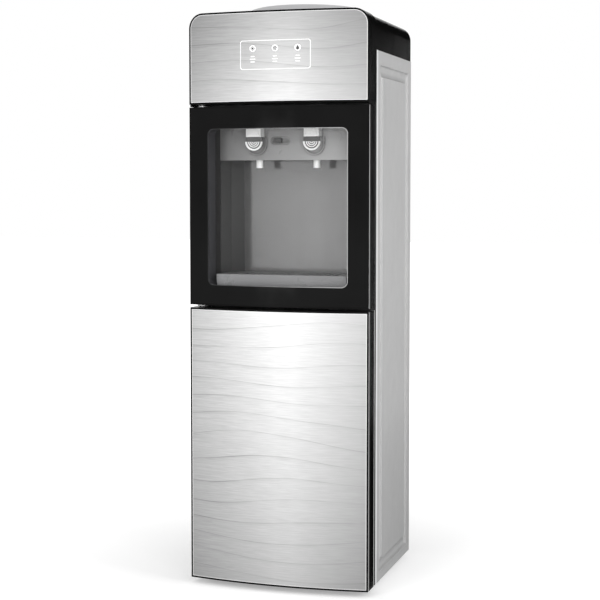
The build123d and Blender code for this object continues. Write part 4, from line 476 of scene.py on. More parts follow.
def drifting_lines(tree, place, xyz):
    """Thin wavy lines, evenly spaced, each with a soft shade under it."""
    slant_x = calc(tree, "MULTIPLY", xyz[0], SWAY_ACROSS)
    slant_z = calc(tree, "MULTIPLY", xyz[2], SWAY_UP)
    sway = calc(tree, "SINE", calc(tree, "ADD", slant_x, slant_z))
    drift = noise(tree, stretched(tree, place, DRIFT_STRETCH), scale=1.0, detail=1.0, roughness=0.4)
    row = calc(tree, "DIVIDE", xyz[2], LINE_SPACING)
    row = calc(tree, "ADD", row, calc(tree, "MULTIPLY", sway, SWAY))
    row = calc(tree, "ADD", row, calc(tree, "MULTIPLY", drift, DRIFT))
    off_line = calc(tree, "SUBTRACT", calc(tree, "FRACT", row), 0.5)
    thin = remap(tree, calc(tree, "ABSOLUTE", off_line), LINE_CORE, (1.0, 0.0))
    under = remap(tree, off_line, (-SHADE_REACH, 0.0), (0.0, SHADE_DARKNESS))
    under = calc(tree, "MULTIPLY", under, calc(tree, "LESS_THAN", off_line, 0.0))
    fading = remap(tree, xyz[0], (-FADE_X, FADE_X), (1.0, LINE_RIGHT))
    patches = noise(tree, stretched(tree, place, PATCH_STRETCH), scale=1.0)
    patchy = remap(tree, patches, (0.3, 0.62), (PATCH_FAINTEST, 1.0))
    drawn = calc(tree, "MULTIPLY", calc(tree, "MAXIMUM", thin, under), patchy)
    return calc(tree, "MULTIPLY", drawn, fading)


def decor_silver(name, bottom, top, corner, bottom_painted_light, top_painted_light):
    """Silver print under glass: short brush dashes, thin drifting lines and a ground edge, under painted
    shade to the sides and painted light from bottom to top.
    """
    material, tree, shader = blank_material(name, Coat_Weight=0.5, Coat_Roughness=0.05, Metallic=0.25)
    place, xyz = object_xyz(tree)
    dashes = noise(tree, stretched(tree, place, DASH_STRETCH), scale=1.0, detail=3.0, roughness=0.62)
    brushed = remap(tree, dashes, (0.32, 0.7))
    # Painted shade to the left and right, and painted light that changes from bottom to top
    left = remap(tree, xyz[0], (-FADE_X, 0.0), (SILVER_LEFT_SHADE, 1.0))
    right = remap(tree, xyz[0], (0.2 * FADE_X, FADE_X), (1.0, SILVER_RIGHT_SHADE))
    height = remap(tree, xyz[2], (bottom, top), (bottom_painted_light, top_painted_light))
    tone = calc(tree, "MULTIPLY", calc(tree, "MULTIPLY", left, right), height)
    contrast = remap(tree, xyz[0], (-FADE_X, FADE_X), (DASH_LEFT, DASH_RIGHT))
    dash = calc(tree, "MULTIPLY_ADD", calc(tree, "SUBTRACT", brushed, DASH_MIDDLE), contrast, 1.0)
    dash_tone = calc(tree, "MULTIPLY", tone, dash)
    line = calc(tree, "MULTIPLY", drifting_lines(tree, place, xyz), LINE_DARKNESS)
    silver = grey_of(tree, calc(tree, "MULTIPLY", dash_tone, calc(tree, "SUBTRACT", 1.0, line)))
    inset = inset_from(tree, HALF_W - RIM, bottom - 2 * corner, top, corner, bottom)
    ground = remap(tree, inset, GROUND_EDGE, (GROUND_SHARE, 0.0))
    feed(tree, shader["Base Color"], blend_colour(tree, ground, silver, grey(0.9)))
    roughen(tree, shader, brushed, 0.44, 0.34)
    add_relief(tree, shader, brushed, depth=0.004, edge=0.5)
    return material


def printed_glass():
    """Black print on the back of the door's pane, round a clear window edged with a painted highlight line
    that is stronger to the right.
    """
    material, tree, shader = blank_material("printed_glass", Specular_IOR_Level=0.08)
    grain = grain_of(tree, 2)
    _, xyz = object_xyz(tree)
    inset = inset_from(tree, WINDOW_HALF, WINDOW_Z0, WINDOW_Z1, WINDOW_R, 0.0)
    clear = past(tree, inset, 0.0, EDGE_SOFT)
    # Painted highlight: a light line round the window, stronger to the right
    glint_band = remap(tree, calc(tree, "ABSOLUTE", inset), WINDOW_GLINT, (1.0, 0.0))
    across = remap(tree, xyz[0], (-WINDOW_GLINT_X, WINDOW_GLINT_X), WINDOW_GLINT_TONES)
    line = calc(tree, "MULTIPLY", glint_band, across)
    pane = blend_colour(tree, clear, mottled_grey(tree, grain, 0.003, 0.005), grey(0.06))
    feed(tree, shader["Base Color"], blend_colour(tree, line, pane, grey(0.8)))
    see_through = remap(tree, clear, (0.0, 1.0), (1.0, CLEAR_ALPHA))
    feed(tree, shader["Alpha"], calc(tree, "MAXIMUM", see_through, line))
    roughen(tree, shader, grain["Smudge"], 0.06, 0.12)
    material.surface_render_method = "BLENDED"
    return material


def shell_black():
    """Black door shell whose window reveal is a dark grey."""
    material, tree, shader = blank_material("shell_black", Specular_IOR_Level=0.06)
    grain = grain_of(tree, 1.4)
    bottom, top = WINDOW_Z0 - REVEAL, WINDOW_Z1 + REVEAL
    inset = inset_from(tree, WINDOW_HALF + REVEAL, bottom, top, WINDOW_R + REVEAL, 0.0)
    black = mottled_grey(tree, grain, 0.0025, 0.004)
    reveal = past(tree, inset, 0.0, EDGE_SOFT)
    feed(tree, shader["Base Color"], blend_colour(tree, reveal, black, (0.06, 0.06, 0.065, 1.0)))
    roughen(tree, shader, grain["Smudge"], 0.17, 0.24)
    add_relief(tree, shader, grain["Height"], depth=0.004, edge=0.8)
    return material


def lever_plastic():
    """Dark thumb lever with painted highlights on its ridges and rim, and a white pivot."""
    material, tree, shader = blank_material("lever_plastic")
    grain = grain_of(tree, 0.7)
    _, xyz = object_xyz(tree)
    aside = calc(tree, "SUBTRACT", calc(tree, "ABSOLUTE", xyz[0]), TAP_X)
    below = calc(tree, "SUBTRACT", LEVER_Z, xyz[2])
    squares = calc(tree, "MULTIPLY_ADD", aside, aside, calc(tree, "MULTIPLY", below, below))
    out = calc(tree, "SQRT", squares)
    # Painted highlights on the ridges and rim; the white pivot is the lever's own colour
    row = calc(tree, "FRACT", calc(tree, "DIVIDE", calc(tree, "SUBTRACT", out, LEVER_HUB), RIDGE_PITCH))
    in_ridge = calc(tree, "LESS_THAN", row, RIDGE_SHARE)
    ridge_highlight = calc(tree, "MULTIPLY", in_ridge, calc(tree, "LESS_THAN", out, RIDGE_REACH))
    ridge_or_rim_highlight = calc(tree, "MAXIMUM", ridge_highlight, calc(tree, "GREATER_THAN", out, LEVER_RIM))
    arc_highlights = calc(tree, "MULTIPLY", ridge_or_rim_highlight, calc(tree, "GREATER_THAN", below, 0.0))
    highlights_and_pivot = calc(tree, "MAXIMUM", arc_highlights, calc(tree, "GREATER_THAN", xyz[2], PIVOT_Z - PIVOT_DROP))
    dark = mottled_grey(tree, grain, 0.075, 0.095)
    feed(tree, shader["Base Color"], blend_colour(tree, highlights_and_pivot, dark, grey(0.93)))
    roughen(tree, shader, grain["Smudge"], 0.3, 0.42)
    add_relief(tree, shader, grain["Height"], depth=0.008, edge=0.3)
    return material


def alcove_plastic():
    """Glossy grey liner with painted shade: darker cheeks, and a grey that darkens to the left."""
    material, tree, shader = blank_material("alcove_plastic", Specular_IOR_Level=0.5)
    grain = grain_of(tree, 0.6)
    _, xyz = object_xyz(tree)
    # Painted shade: the wall darkens to the left and the cheeks are painted dark
    shaded_wall = grey_of(tree, remap(tree, xyz[0], (-ALCOVE_X, ALCOVE_X), ALCOVE_SHADE_TONES))
    mottled = blend_colour(tree, calc(tree, "MULTIPLY", grain["Tone"], ALCOVE_MOTTLE), shaded_wall, grey(0.2))
    cheek_shade = past(tree, calc(tree, "ABSOLUTE", xyz[0]), CHEEK_X, soft=0.3 * MM)
    feed(tree, shader["Base Color"], blend_colour(tree, cheek_shade, mottled, grey(0.085)))
    roughen(tree, shader, grain["Smudge"], 0.1, 0.16)
    add_relief(tree, shader, grain["Height"], depth=0.002, edge=0.6)
    return material


def tap_panel_plastic():
    """Satin panel behind the taps, with painted shade: darker to the left, and darker in its corners and
    round the taps.
    """
    material, tree, shader = blank_material("tap_panel_plastic")
    grain = grain_of(tree, 0.6)
    _, xyz = object_xyz(tree)
    # Painted shade: darker to the left, lighter to the right
    panel = grey_of(tree, remap(tree, xyz[0], (-TAP_PANEL_X, TAP_PANEL_X), TAP_PANEL_SHADE_TONES))
    mottled = blend_colour(tree, calc(tree, "MULTIPLY", grain["Tone"], TAP_PANEL_MOTTLE), panel, grey(0.1))
    # Painted shade in the corners and round the taps
    grimed_and_shaded = blend_colour(tree, open_share(tree, TAP_SHADE_REACH), grey(0.05), mottled)
    feed(tree, shader["Base Color"], grimed_and_shaded)
    roughen(tree, shader, grain["Smudge"], 0.26, 0.36)
    add_relief(tree, shader, grain["Height"], depth=0.004, edge=0.5)
    return material


def trim_profile():
    """Dark edge profile whose front lip carries a painted highlight."""
    material, tree, shader = blank_material("trim_profile", Specular_IOR_Level=0.08)
    grain = grain_of(tree, 0.6)
    _, xyz = object_xyz(tree)
    # Painted highlight on the front lip
    lip_highlight = past(tree, xyz[1], TRIM_LIP_Y, soft=0.15 * MM, given=(1.0, 0.0))
    dark = mottled_grey(tree, grain, 0.015, 0.022)
    feed(tree, shader["Base Color"], blend_colour(tree, lip_highlight, dark, grey(0.92)))
    roughen(tree, shader, grain["Smudge"], 0.28, 0.4)
    add_relief(tree, shader, grain["Height"], depth=0.004, edge=0.3)
    return material


def panel_paint():
    """Grey paint on the side sheets, whose pressed groove has a rounded floor, with painted shade lower down
    and a painted highlight on the front fold.
    """
    material, tree, shader = blank_material("panel_paint")
    grain = grain_of(tree, 0.9)
    low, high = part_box("right_side_panel")
    _, xyz = object_xyz(tree)
    along = between(tree, xyz[1], GROOVE_Y0, GROOVE_Y1)
    up = between(tree, xyz[2], low[2] + GROOVE_RISE, high[2] - GROOVE_DROP)
    turn = remap(tree, calc(tree, "MINIMUM", along, up), (0.0, GROOVE_W), (0.0, math.pi))
    dip = calc(tree, "MULTIPLY", calc(tree, "SINE", turn), -1.0)
    # Painted shade: darker lower down
    height_shade = remap(tree, xyz[2], PAINT_Z, PAINT_SHADE_TONES)
    paint = grey_of(tree, calc(tree, "ADD", height_shade, calc(tree, "MULTIPLY", grain["Tone"], PAINT_MOTTLE)))
    # Painted highlight along the front fold
    fold_highlight = remap(tree, xyz[1], (low[1] + FOLD_START, low[1] + FOLD_END), (1.0, 0.0))
    feed(tree, shader["Base Color"], blend_colour(tree, fold_highlight, paint, grey(FOLD_HIGHLIGHT)))
    roughen(tree, shader, grain["Smudge"], 0.34, 0.46)
    normal = put(tree, "ShaderNodeBevel", {"Radius": GROOVE_EDGE}, samples=4).outputs[0]
    for height, depth in ((dip, GROOVE_DEPTH), (grain["Height"], PAINT_GRAIN)):
        bump = put(tree, "ShaderNodeBump", {"Height": height, "Distance": depth, "Normal": normal})
        normal = bump.outputs[0]
    feed(tree, shader["Normal"], normal)
    return material


def lock_plastic():
    """Dark thumb tab on a paler slide plate."""
    material, tree, shader = blank_material("lock_plastic")
    grain = grain_of(tree, 0.5)
    _, xyz = object_xyz(tree)
    tab = past(tree, xyz[1], LOCK_TAB_Y, soft=0.2 * MM, given=(1.0, 0.0))
    plate = mottled_grey(tree, grain, 0.2, 0.23)
    feed(tree, shader["Base Color"], blend_colour(tree, tab, plate, grey(0.07)))
    roughen(tree, shader, grain["Smudge"], 0.34, 0.46)
    add_relief(tree, shader, grain["Height"], depth=0.008, edge=0.3)
    return material


def galvanised():
    """Zinc-coated sheet with its spangle."""
    material, tree, shader = blank_material("galvanised", Metallic=0.85)
    place, _ = object_xyz(tree)
    spangle = put(tree, "ShaderNodeTexVoronoi", {"Vector": place, "Scale": 200.0}).outputs["Color"]
    cell = put(tree, "ShaderNodeSeparateColor", {0: spangle}).outputs[0]
    feed(tree, shader["Base Color"], blend_colour(tree, cell, grey(0.47), grey(0.58)))
    roughen(tree, shader, cell, 0.34, 0.5)
    add_relief(tree, shader, noise(tree, place, scale=500.0), depth=0.01, edge=0.3)
    return material


def drawn_metal(name, colour, rough, scale):
    """Metal with fine draw lines along the given directions."""
    material, tree, shader = blank_material(name, Metallic=1.0)
    place, _ = object_xyz(tree)
    lines = noise(tree, stretched(tree, place, scale), scale=1.0, detail=3.0, roughness=0.6)
    feed(tree, shader["Base Color"], blend_colour(tree, lines, tinted(colour, 0.82), tinted(colour, 1.1)))
    feed(tree, shader["Roughness"], remap(tree, lines, (0.3, 0.7), (rough * 0.8, rough * 1.3)))
    add_relief(tree, shader, lines, depth=0.006, edge=0.3)
    return material


def foam_skin():
    """Open moulded foam with small pores."""
    material, tree, shader = blank_material("foam_skin")
    place, _ = object_xyz(tree)
    pores = put(tree, "ShaderNodeTexVoronoi", {"Vector": place, "Scale": 420.0}).outputs["Distance"]
    colour = blend_colour(tree, pores, (0.62, 0.53, 0.36, 1.0), (0.86, 0.79, 0.6, 1.0))
    feed(tree, shader["Base Color"], colour)
    roughen(tree, shader, pores, 0.8, 0.95)
    add_relief(tree, shader, pores, depth=0.4, edge=0.5)
    return material


def lit_print():
    """White indicator ink, lit from behind."""
    material, tree, shader = blank_material("lit_print", Emission_Strength=0.35)
    grain = grain_of(tree, 0.5)
    glow = blend_colour(tree, grain["Height"], grey(0.84), grey(0.95))
    feed(tree, shader["Base Color"], glow)
    feed(tree, shader["Emission Color"], glow)
    roughen(tree, shader, grain["Smudge"], 0.25, 0.4)
    return material


# Glass, the two-tone pieces and those with painted light and shade
fascia_low, fascia_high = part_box("fascia_glass")
lower_low, lower_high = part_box("lower_door_glass")
# Painted light: the fascia darkens towards its top, and the lower door has a painted sheen towards its top
fascia_silver = decor_silver(
    "fascia_silver", fascia_low[2], fascia_high[2], corner=FASCIA_CORNER, bottom_painted_light=0.67, top_painted_light=0.4,
)
lower_silver = decor_silver(
    "lower_silver", lower_low[2], lower_high[2], corner=0.0, bottom_painted_light=0.47, top_painted_light=0.8,
)
door_glass = printed_glass()
door_black = shell_black()
grey_paint = panel_paint()
alcove_grey = alcove_plastic()
panel_grey = tap_panel_plastic()
trim_with_highlight = trim_profile()
lever_with_highlights = lever_plastic()
lock_two_tone = lock_plastic()
indicator_white = lit_print()

# Paint and enamel
black_gloss = finish(
    "black_gloss", grey(0.003), rough=0.2, grain=1.4, depth=0.004, tone=0.2, edge=0.3, grime_and_shade=0.3,
    Specular_IOR_Level=0.06,
)
frame_paint = finish("frame_paint", grey(0.02), rough=0.5, depth=0.02, tone=0.1)
black_enamel = finish("black_enamel", grey(0.015), rough=0.35, grain=2.2, depth=0.05, tone=0.15)

# Moulded plastic
tray_grey = finish(
    "tray_grey", (0.26, 0.26, 0.265, 1), rough=0.3, grain=0.6, depth=0.008, tone=0.04, edge=0.5, grime_and_shade=0.3,
)
collar_grey = finish("collar_grey", (0.5, 0.5, 0.51, 1), rough=0.4, grain=0.7, tone=0.03, edge=0.8)
white_gloss = finish(
    "white_gloss", (0.96, 0.96, 0.955, 1), rough=0.25, grain=0.6, depth=0.004, tone=0.01, edge=0.7,
    grime_and_shade=0.06,
)
dark_satin = finish("dark_satin", grey(0.045), rough=0.42, grain=0.5, depth=0.012, tone=0.1, edge=0.4)
liner_white = finish(
    "liner_white", (0.68, 0.68, 0.67, 1), rough=0.42, grain=1.2, depth=0.015, tone=0.03, edge=1.2, grime_and_shade=0.2,
)
box_grey = finish("box_grey", (0.55, 0.55, 0.54, 1), rough=0.45, grain=0.6, depth=0.012, tone=0.05, edge=0.5)
board_green = finish("board_green", (0.03, 0.16, 0.07, 1), rough=0.35, grain=0.4, tone=0.15, edge=0.2)
red_rocker = finish("red_rocker", (0.5, 0.02, 0.015, 1), rough=0.3, grain=0.5, depth=0.004, edge=0.5)
green_rocker = finish("green_rocker", (0.02, 0.3, 0.06, 1), rough=0.3, grain=0.5, depth=0.004, edge=0.5)

# Rubber and silicone
soft_rubber = finish("soft_rubber", grey(0.022), rough=0.7, grain=0.5, depth=0.03, tone=0.15, grime_and_shade=0.2)
gasket_rubber = finish("gasket_rubber", grey(0.2), rough=0.6, grain=0.5, depth=0.015, edge=0.4, grime_and_shade=0.3)
hose_silicone = finish("hose_silicone", (0.72, 0.72, 0.69, 1), rough=0.35, tone=0.05, edge=0.3)

# Metal and foam
zinc_sheet = galvanised()
stainless = drawn_metal("stainless", grey(0.6), rough=0.3, scale=(60.0, 60.0, 900.0))
copper_tube = drawn_metal("copper_tube", (0.72, 0.36, 0.2, 1), rough=0.28, scale=(300.0, 300.0, 300.0))
foam = foam_skin()

worn_by = (
    (fascia_silver, ("fascia_glass",)),
    (lower_silver, ("lower_door_glass",)),
    (door_glass, ("glass_door_glass",)),
    (door_black, ("glass_door_frame", "glass_door_back")),
    (grey_paint, ("left_side_panel", "right_side_panel")),
    (alcove_grey, ("alcove_liner",)),
    (panel_grey, ("tap_panel", "tap_bezels")),
    (trim_with_highlight, ("glass_door_trim", "lower_door_trim")),
    (lever_with_highlights, ("hot_tap_lever", "cold_tap_lever")),
    (lock_two_tone, ("lock_slider",)),
    (indicator_white, ("indicator_lenses",)),
    (black_gloss, ("top_cover", "fascia_frame", "lower_door_frame")),
    (frame_paint, ("front_frame",)),
    (black_enamel, ("compressor", "condenser_tube", "condenser_wires")),
    (tray_grey, ("drip_tray", "drip_grille")),
    (collar_grey, ("bottle_collar",)),
    (white_gloss, ("tap_bodies", "tap_nozzles", "hot_tap_stem", "cold_tap_stem")),
    (white_gloss, ("cold_tank_lid", "drain_spouts")),
    (dark_satin, ("terminal_cover", "condenser_brackets", "power_inlet", "switch_housing")),
    (liner_white, ("storage_liner", "lower_door_back")),
    (box_grey, ("power_box",)),
    (board_green, ("indicator_board",)),
    (red_rocker, ("hot_switch_rocker",)),
    (green_rocker, ("cold_switch_rocker",)),
    (soft_rubber, ("feet", "compressor_grommets", "hot_drain_plug", "cold_drain_plug")),
    (gasket_rubber, ("glass_door_gasket", "lower_door_gasket")),
    (hose_silicone, ("water_hoses",)),
    (zinc_sheet, ("base_pan", "rear_panel", "rear_screws", "hinge_brackets")),
    (stainless, ("hot_tap_spring", "cold_tap_spring", "cold_tank", "hot_tank")),
    (copper_tube, ("evaporator_coil", "refrigerant_pipes")),
    (foam, ("tank_foam",)),
)
for material, names in worn_by:
    for name in names:
        for slot in nodes[name].material_slots:
            slot.material = material


# Pieces made here

def add_piece(name, shape, material, body):
    """Turn a finished shape into a piece and tie it to its body."""
    bmesh.ops.recalc_face_normals(shape, faces=shape.faces)
    mesh = bpy.data.meshes.new(name)
    shape.to_mesh(mesh)
    shape.free()
    mesh.materials.append(material)
    piece = new_object(name, mesh)
    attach(piece, body)
    return piece


def shape_of(mesh):
    shape = bmesh.new()
    shape.from_mesh(mesh)
    return shape


def eased_box(low, high, edge):
    """Box between two corners, with eased edges."""
    low, high = Vector(low), Vector(high)
    shape = bmesh.new()
    bmesh.ops.create_cube(shape, size=1.0)
    place = Matrix.LocRotScale((low + high) / 2, None, high - low)
    bmesh.ops.transform(shape, matrix=place, verts=shape.verts)
    bmesh.ops.bevel(shape, geom=shape.edges, offset=edge, segments=2, affect="EDGES")
    return shape


# Ink on the bowed fascia

def bow_y(x):
    """Depth of the bowed front at one place across it."""
    return FRONT_Y + BOW_R - math.sqrt(BOW_R ** 2 - x ** 2)


def circle(radius, count):
    angles = [2 * math.pi * step / count for step in range(count)]
    return [(radius * math.cos(angle), radius * math.sin(angle)) for angle in angles]


def bar(near, far, half):
    """Corner points of a straight bar that points to the right, in mm."""
    points = ((near, -half), (far, -half), (far, half), (near, half))
    return [(x * MM, z * MM) for x, z in points]


def turned(points, angle):
    return [Matrix.Rotation(angle, 2) @ Vector(point) for point in points]


def moved(points, x, z):
    return [(x + point[0], z + point[1]) for point in points]


def rounded_box(x0, x1, z0, z1, radius, steps=6):
    """Corner points of a rounded rectangle, with extra points along its long sides."""
    points = []
    corners = (
        (x1 - radius, z1 - radius, 0),
        (x0 + radius, z1 - radius, 90),
        (x0 + radius, z0 + radius, 180),
        (x1 - radius, z0 + radius, 270),
    )
    for x, z, start in corners:
        for step in range(steps + 1):
            angle = math.radians(start + 90 * step / steps)
            points.append((x + radius * math.cos(angle), z + radius * math.sin(angle)))
    dense = []
    for first, last in zip(points, points[1:] + points[:1]):
        parts = max(1, round(math.dist(first, last) / OUTLINE_STEP))
        for part in range(parts):
            share = part / parts
            dense.append((first[0] + (last[0] - first[0]) * share, first[1] + (last[1] - first[1]) * share))
    return dense


def inked_ring(shape, outer, inner):
    """Raised ink between two loops of the same length, on the bowed face."""
    count = len(outer)
    rows = []
    for loop, offset in ((outer, -INK_LIFT), (inner, -INK_LIFT), (inner, INK_SINK), (outer, INK_SINK)):
        rows.append([shape.verts.new((x, bow_y(x) + offset, z)) for x, z in loop])
    for index in range(count):
        after = (index + 1) % count
        for row, below in zip(rows, rows[1:] + rows[:1]):
            shape.faces.new((row[index], row[after], below[after], below[index]))


def inked_patch(shape, outline, lift=INK_LIFT):
    """Raised ink inside one loop, on the bowed face."""
    front = [shape.verts.new((x, bow_y(x) - lift, z)) for x, z in outline]
    back = [shape.verts.new((x, bow_y(x) + INK_SINK, z)) for x, z in outline]
    close_loops(shape, front, back)


def close_loops(shape, front, back):
    """Faces over two loops and the band between them."""
    shape.faces.new(front)
    shape.faces.new(back[::-1])
    for index in range(len(front)):
        after = (index + 1) % len(front)
        shape.faces.new((front[index], back[index], back[after], front[after]))


def indicator_print():
    """White outline of the indicator field and short bars under each lamp."""
    shape = bmesh.new()
    outer = rounded_box(-FIELD_HALF, FIELD_HALF, FIELD_Z0, FIELD_Z1, FIELD_R)
    middle = (FIELD_Z0 + FIELD_Z1) / 2
    narrower = 1 - FIELD_LINE / FIELD_HALF
    inner = [(x * narrower, z + (FIELD_LINE if z < middle else -FIELD_LINE)) for x, z in outer]
    inked_ring(shape, outer, inner)
    for x in (-INDICATOR_X, 0.0, INDICATOR_X):
        for width, z in LABEL_BARS:
            half = width / 2
            label = rounded_box(x - half, x + half, z - LABEL_HALF, z + LABEL_HALF, LABEL_R, steps=3)
            inked_patch(shape, label)
    add_piece("indicator_print", shape, indicator_white, "cabinet")


def sun_sign():
    stroke = bar(near=2.2, far=4.0, half=0.5)
    rays = [turned(stroke, 2 * math.pi * ray / SUN_RAYS) for ray in range(SUN_RAYS)]
    return [*rays, circle(SUN_R, count=20)]


def flake_sign():
    stem = bar(near=0.6, far=4.0, half=0.45)
    crossbar = bar(near=2.2, far=2.9, half=1.3)
    arms = []
    for arm in range(FLAKE_ARMS):
        angle = 2 * math.pi * arm / FLAKE_ARMS
        arms += [turned(stem, angle), turned(crossbar, angle)]
    return arms


def drop_sign():
    outline = [(0.0, DROP_TIP)]
    for step in range(DROP_STEPS + 1):
        angle = math.radians(DROP_START + DROP_SWEEP * step / DROP_STEPS)
        outline.append((DROP_R * math.cos(angle), DROP_R * math.sin(angle) - DROP_SINK))
    return [outline]


def indicator_signs():
    """Dark sun, flake and drop on the three lamps."""
    shape = bmesh.new()
    for x, sign in ((-INDICATOR_X, sun_sign()), (0.0, flake_sign()), (INDICATOR_X, drop_sign())):
        for outline in sign:
            inked_patch(shape, moved(outline, x, INDICATOR_Z), SIGN_LIFT)
    add_piece("indicator_signs", shape, dark_satin, "cabinet")


# Plastic details

def tap_caps():
    """Raised white shield on the front of each tap block, with slanted flanks."""
    low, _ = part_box("tap_bodies")
    front = low[1]
    right_side = ((CAP_FOOT_HALF, CAP_FOOT_Z), (CAP_HALF, CAP_WAIST_Z), (CAP_HALF, CAP_HEAD_Z))
    outline = [*right_side, *((-x, z) for x, z in right_side[::-1])]
    shape = bmesh.new()
    for tap_x in (-TAP_X, TAP_X):
        foot = []
        head = []
        for x, z in outline:
            head_z = CAP_MIDDLE_Z + (z - CAP_MIDDLE_Z) * CAP_SHORTER
            foot.append(shape.verts.new((tap_x + x, front + CAP_SINK, z)))
            head.append(shape.verts.new((tap_x + x * CAP_NARROWER, front - CAP_RISE, head_z)))
        close_loops(shape, head, foot)
    rims = [edge for edge in shape.edges if all(vert.co.y < front for vert in edge.verts)]
    bmesh.ops.bevel(shape, geom=rims, offset=CAP_EDGE, segments=2, affect="EDGES")
    add_piece("tap_caps", shape, white_gloss, "cabinet")


def tray_apron():
    """Lip that hangs from the tray's front and hides the edge of the liner."""
    low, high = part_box("drip_tray")
    bottom = (low[0] + APRON_IN, low[1] - APRON_PROUD, low[2] - APRON_DROP)
    top = (high[0] - APRON_IN, low[1] + APRON_BACK, low[2] + APRON_RISE)
    add_piece("tray_apron", eased_box(bottom, top, APRON_EDGE), tray_grey, "tray")


def fascia_skirts():
    """Short skirts under the fascia's side walls, which shade the hinge."""
    low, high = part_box("fascia_frame")
    foot, head = low[2] - SKIRT_DROP, low[2] + SKIRT_RISE
    front, back = low[1] + SKIRT_FRONT, high[1] - SKIRT_BACK
    for side, x in (("left", low[0] + SKIRT_IN), ("right", high[0] - SKIRT_IN)):
        shape = eased_box((x - SKIRT_HALF, front, foot), (x + SKIRT_HALF, back, head), SKIRT_EDGE)
        add_piece(side + "_fascia_skirt", shape, black_gloss, "cabinet")


# Springs of the tap valves

def merged_copy(node):
    """Closed copy of a solid's mesh, with its loose triangles joined."""
    shape = shape_of(nodes[node].data)
    bmesh.ops.remove_doubles(shape, verts=shape.verts, dist=MERGE)
    for face in shape.faces:
        face.smooth = True
    return shape


def return_springs():
    """Valve springs as closed copies of their solids, in place of them."""
    for side in ("hot", "cold"):
        node = side + "_tap_spring"
        spring = add_piece(side + "_return_spring", merged_copy(node), stainless, "cabinet")
        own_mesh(spring)
        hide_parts(node)


# Gaskets swept round the back of each door

def rounded_outline(tree, width, height, corner, count):
    """Rounded rectangle as a curve, with this count of points on each corner."""
    sides = put(tree, "GeometryNodeCurvePrimitiveQuadrilateral", {"Width": width, "Height": height})
    return put(tree, "GeometryNodeFilletCurve", {
        "Curve": sides.outputs[0],
        "Count": count,
        "Radius": corner,
    }, mode="POLY").outputs[0]


def gasket_tree(material):
    """Foot, bellows and magnet strip swept along a rounded rectangle."""
    tree = bpy.data.node_groups.new("gasket_sweep", "GeometryNodeTree")
    tree.interface.new_socket(name="Geometry", in_out="OUTPUT", socket_type="NodeSocketGeometry")
    for socket in ("Width", "Height", "Corner"):
        tree.interface.new_socket(name=socket, in_out="INPUT", socket_type="NodeSocketFloat")
    given = put(tree, "NodeGroupInput").outputs
    path = rounded_outline(tree, given["Width"], given["Height"], given["Corner"], count=6)
    join = put(tree, "GeometryNodeJoinGeometry")
    for width, height, lift in SEAL_LAYERS:
        section = rounded_outline(tree, width, height, SEAL_EDGE, count=3)
        raised = put(tree, "GeometryNodeTransform", {"Geometry": section, "Translation": (0.0, lift, 0.0)})
        swept = put(tree, "GeometryNodeCurveToMesh", {"Curve": path, "Profile Curve": raised.outputs[0]})
        tree.links.new(swept.outputs[0], join.inputs[0])
    whole = put(tree, "GeometryNodeRealizeInstances", {"Geometry": join.outputs[0]})
    painted = put(tree, "GeometryNodeSetMaterial", {"Geometry": whole.outputs[0], "Material": material})
    tree.links.new(painted.outputs[0], put(tree, "NodeGroupOutput").inputs[0])
    return tree


def grown(tree, sizes):
    """Plain mesh of what a tree makes with these sizes."""
    holder = new_object("tree_source", bpy.data.meshes.new("tree_source"))
    modifier = holder.modifiers.new("tree", "NODES")
    modifier.node_group = tree
    for item in tree.interface.items_tree:
        if item.in_out == "INPUT" and item.name in sizes:
            modifier[item.identifier] = sizes[item.name]
    graph = bpy.context.evaluated_depsgraph_get()
    mesh = bpy.data.meshes.new_from_object(holder.evaluated_get(graph))
    bpy.data.objects.remove(holder)
    return mesh


def door_gaskets():
    """Magnetic seal on the back of each door, in place of its plain solid."""
    tree = gasket_tree(gasket_rubber)
    for door in ("glass_door", "lower_door"):
        low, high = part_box(door + "_gasket")
        width = high[0] - low[0] - SEAL_W
        height = high[2] - low[2] - SEAL_W
        mesh = grown(tree, {"Width": width, "Height": height, "Corner": SEAL_CORNER})
        centre = ((low[0] + high[0]) / 2, low[1], (low[2] + high[2]) / 2)
        mesh.transform(Matrix.Translation(centre) @ Matrix.Rotation(math.radians(-90), 4, "X"))
        seal = add_piece(door + "_seal", shape_of(mesh), gasket_rubber, door)
        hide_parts(door + "_gasket")


indicator_print()
indicator_signs()
tap_caps()
tray_apron()
fascia_skirts()
return_springs()
door_gaskets()


# Floor, light and background

def flat_piece(name, corners, material):
    """One four-cornered sheet of the studio."""
    mesh = bpy.data.meshes.new(name)
    mesh.from_pydata(corners, [], [(0, 1, 2, 3)])
    mesh.materials.append(material)
    piece = new_object(name, mesh)
    return piece


def shown_directly(tree):
    """One for rays that show the background itself, or its reflection."""
    ray = put(tree, "ShaderNodeLightPath").outputs
    mirrored = calc(tree, "MAXIMUM", ray["Is Glossy Ray"], ray["Is Transmission Ray"])
    return calc(tree, "MAXIMUM", ray["Is Camera Ray"], mirrored)


def studio_floor():
    """Pale floor that keeps the shadow and turns white away from the object."""
    material, tree, shader = blank_material("floor_white", Specular_IOR_Level=0.0, Emission_Strength=1.0)
    place, _ = object_xyz(tree)
    away = put(tree, "ShaderNodeVectorMath", {0: place}, operation="LENGTH").outputs["Value"]
    lift = calc(tree, "MULTIPLY", remap(tree, away, FLOOR_FADE, FLOOR_LIFT), shown_directly(tree))
    feed(tree, shader["Base Color"], blend_colour(tree, noise(tree, place, 3.0), grey(0.9), grey(0.94)))
    feed(tree, shader["Emission Color"], blend_colour(tree, lift, grey(0.0), grey(1.0)))
    turns = ((-1, -1), (1, -1), (1, 1), (-1, 1))
    flat_piece("studio_floor", [(x * FLOOR_REACH, y * FLOOR_REACH, 0) for x, y in turns], material)


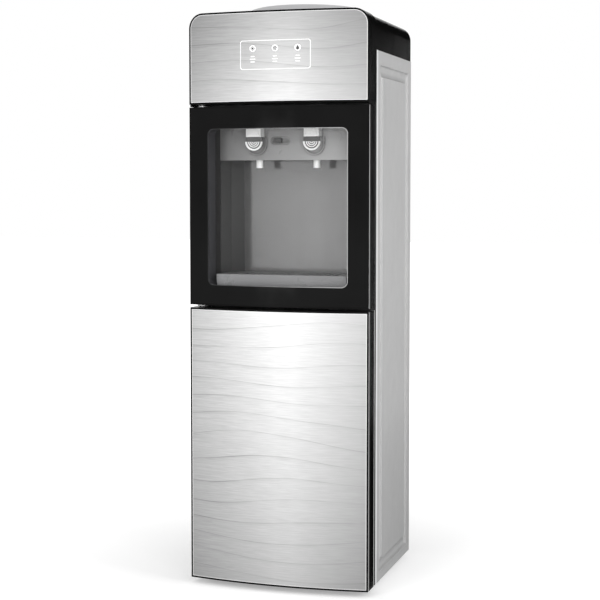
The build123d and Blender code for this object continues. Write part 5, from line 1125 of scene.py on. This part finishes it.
def dark_card(name, corners):
    """Dark studio card that only shows in reflections."""
    material, tree, shader = blank_material("card_black", Roughness=0.9, Specular_IOR_Level=0.0)
    place, _ = object_xyz(tree)
    feed(tree, shader["Base Color"], blend_colour(tree, noise(tree, place, 4.0), grey(0.004), grey(0.01)))
    card = flat_piece(name, corners, material)
    card.visible_camera = False
    card.visible_diffuse = False
    card.visible_shadow = False


def standing_card(name, x0, x1, z0, z1):
    """Dark card that stands behind the object."""
    dark_card(name, [(x0, CARD_Y, z0), (x1, CARD_Y, z0), (x1, CARD_Y, z1), (x0, CARD_Y, z1)])


def floor_card():
    """Dark card on the floor beside the object, which widens to the back."""
    left, near, far = FLOOR_CARD_X
    corners = ((left, FLOOR_CARD_Y), (near, FLOOR_CARD_Y), (far, CARD_Y), (left, CARD_Y))
    dark_card("floor_card", [(x, y, FLOOR_CARD_Z) for x, y in corners])


def studio_world():
    """Background that looks white and lights the object at a plain level."""
    world = bpy.data.worlds.new("studio")
    bpy.context.scene.world = world
    world.use_nodes = True
    tree = world.node_tree
    background = tree.nodes["Background"]
    background.inputs["Color"].default_value = grey(1.0)
    strength = remap(tree, shown_directly(tree), (0.0, 1.0), (WORLD_STRENGTH, 1.0))
    feed(tree, background.inputs["Strength"], strength)


def soft_box(name, place, aim, size, watts):
    data = bpy.data.lights.new(name, "AREA")
    data.shape = "SQUARE"
    data.size = size
    data.energy = watts
    lamp = new_object(name, data)
    lamp.location = place
    lamp.rotation_euler = facing(place, aim)


add_camera()
studio_floor()
studio_world()
standing_card("rear_card", CARD_X1, CARD_X2, 0.0, CARD_Z1)
floor_card()
standing_card("upper_card", CARD_X0, CARD_X1, CARD_Z0, CARD_Z2)
soft_box("key_box", place=(-1.0, -2.9, 2.3), aim=(0.0, 0.0, 0.55), size=1.5, watts=29.0)
soft_box("front_box", place=(1.4, -2.6, 0.8), aim=(0.0, 0.0, 0.65), size=1.7, watts=32.0)
soft_box("alcove_box", place=(-0.86, -2.7, 0.6), aim=(-0.86, 0.0, 0.6), size=0.56, watts=3.1)
soft_box("side_box", place=(2.8, -0.6, 1.4), aim=(0.1, 0.0, 0.5), size=1.4, watts=28.0)
bpy.context.scene.view_settings.view_transform = "Standard"
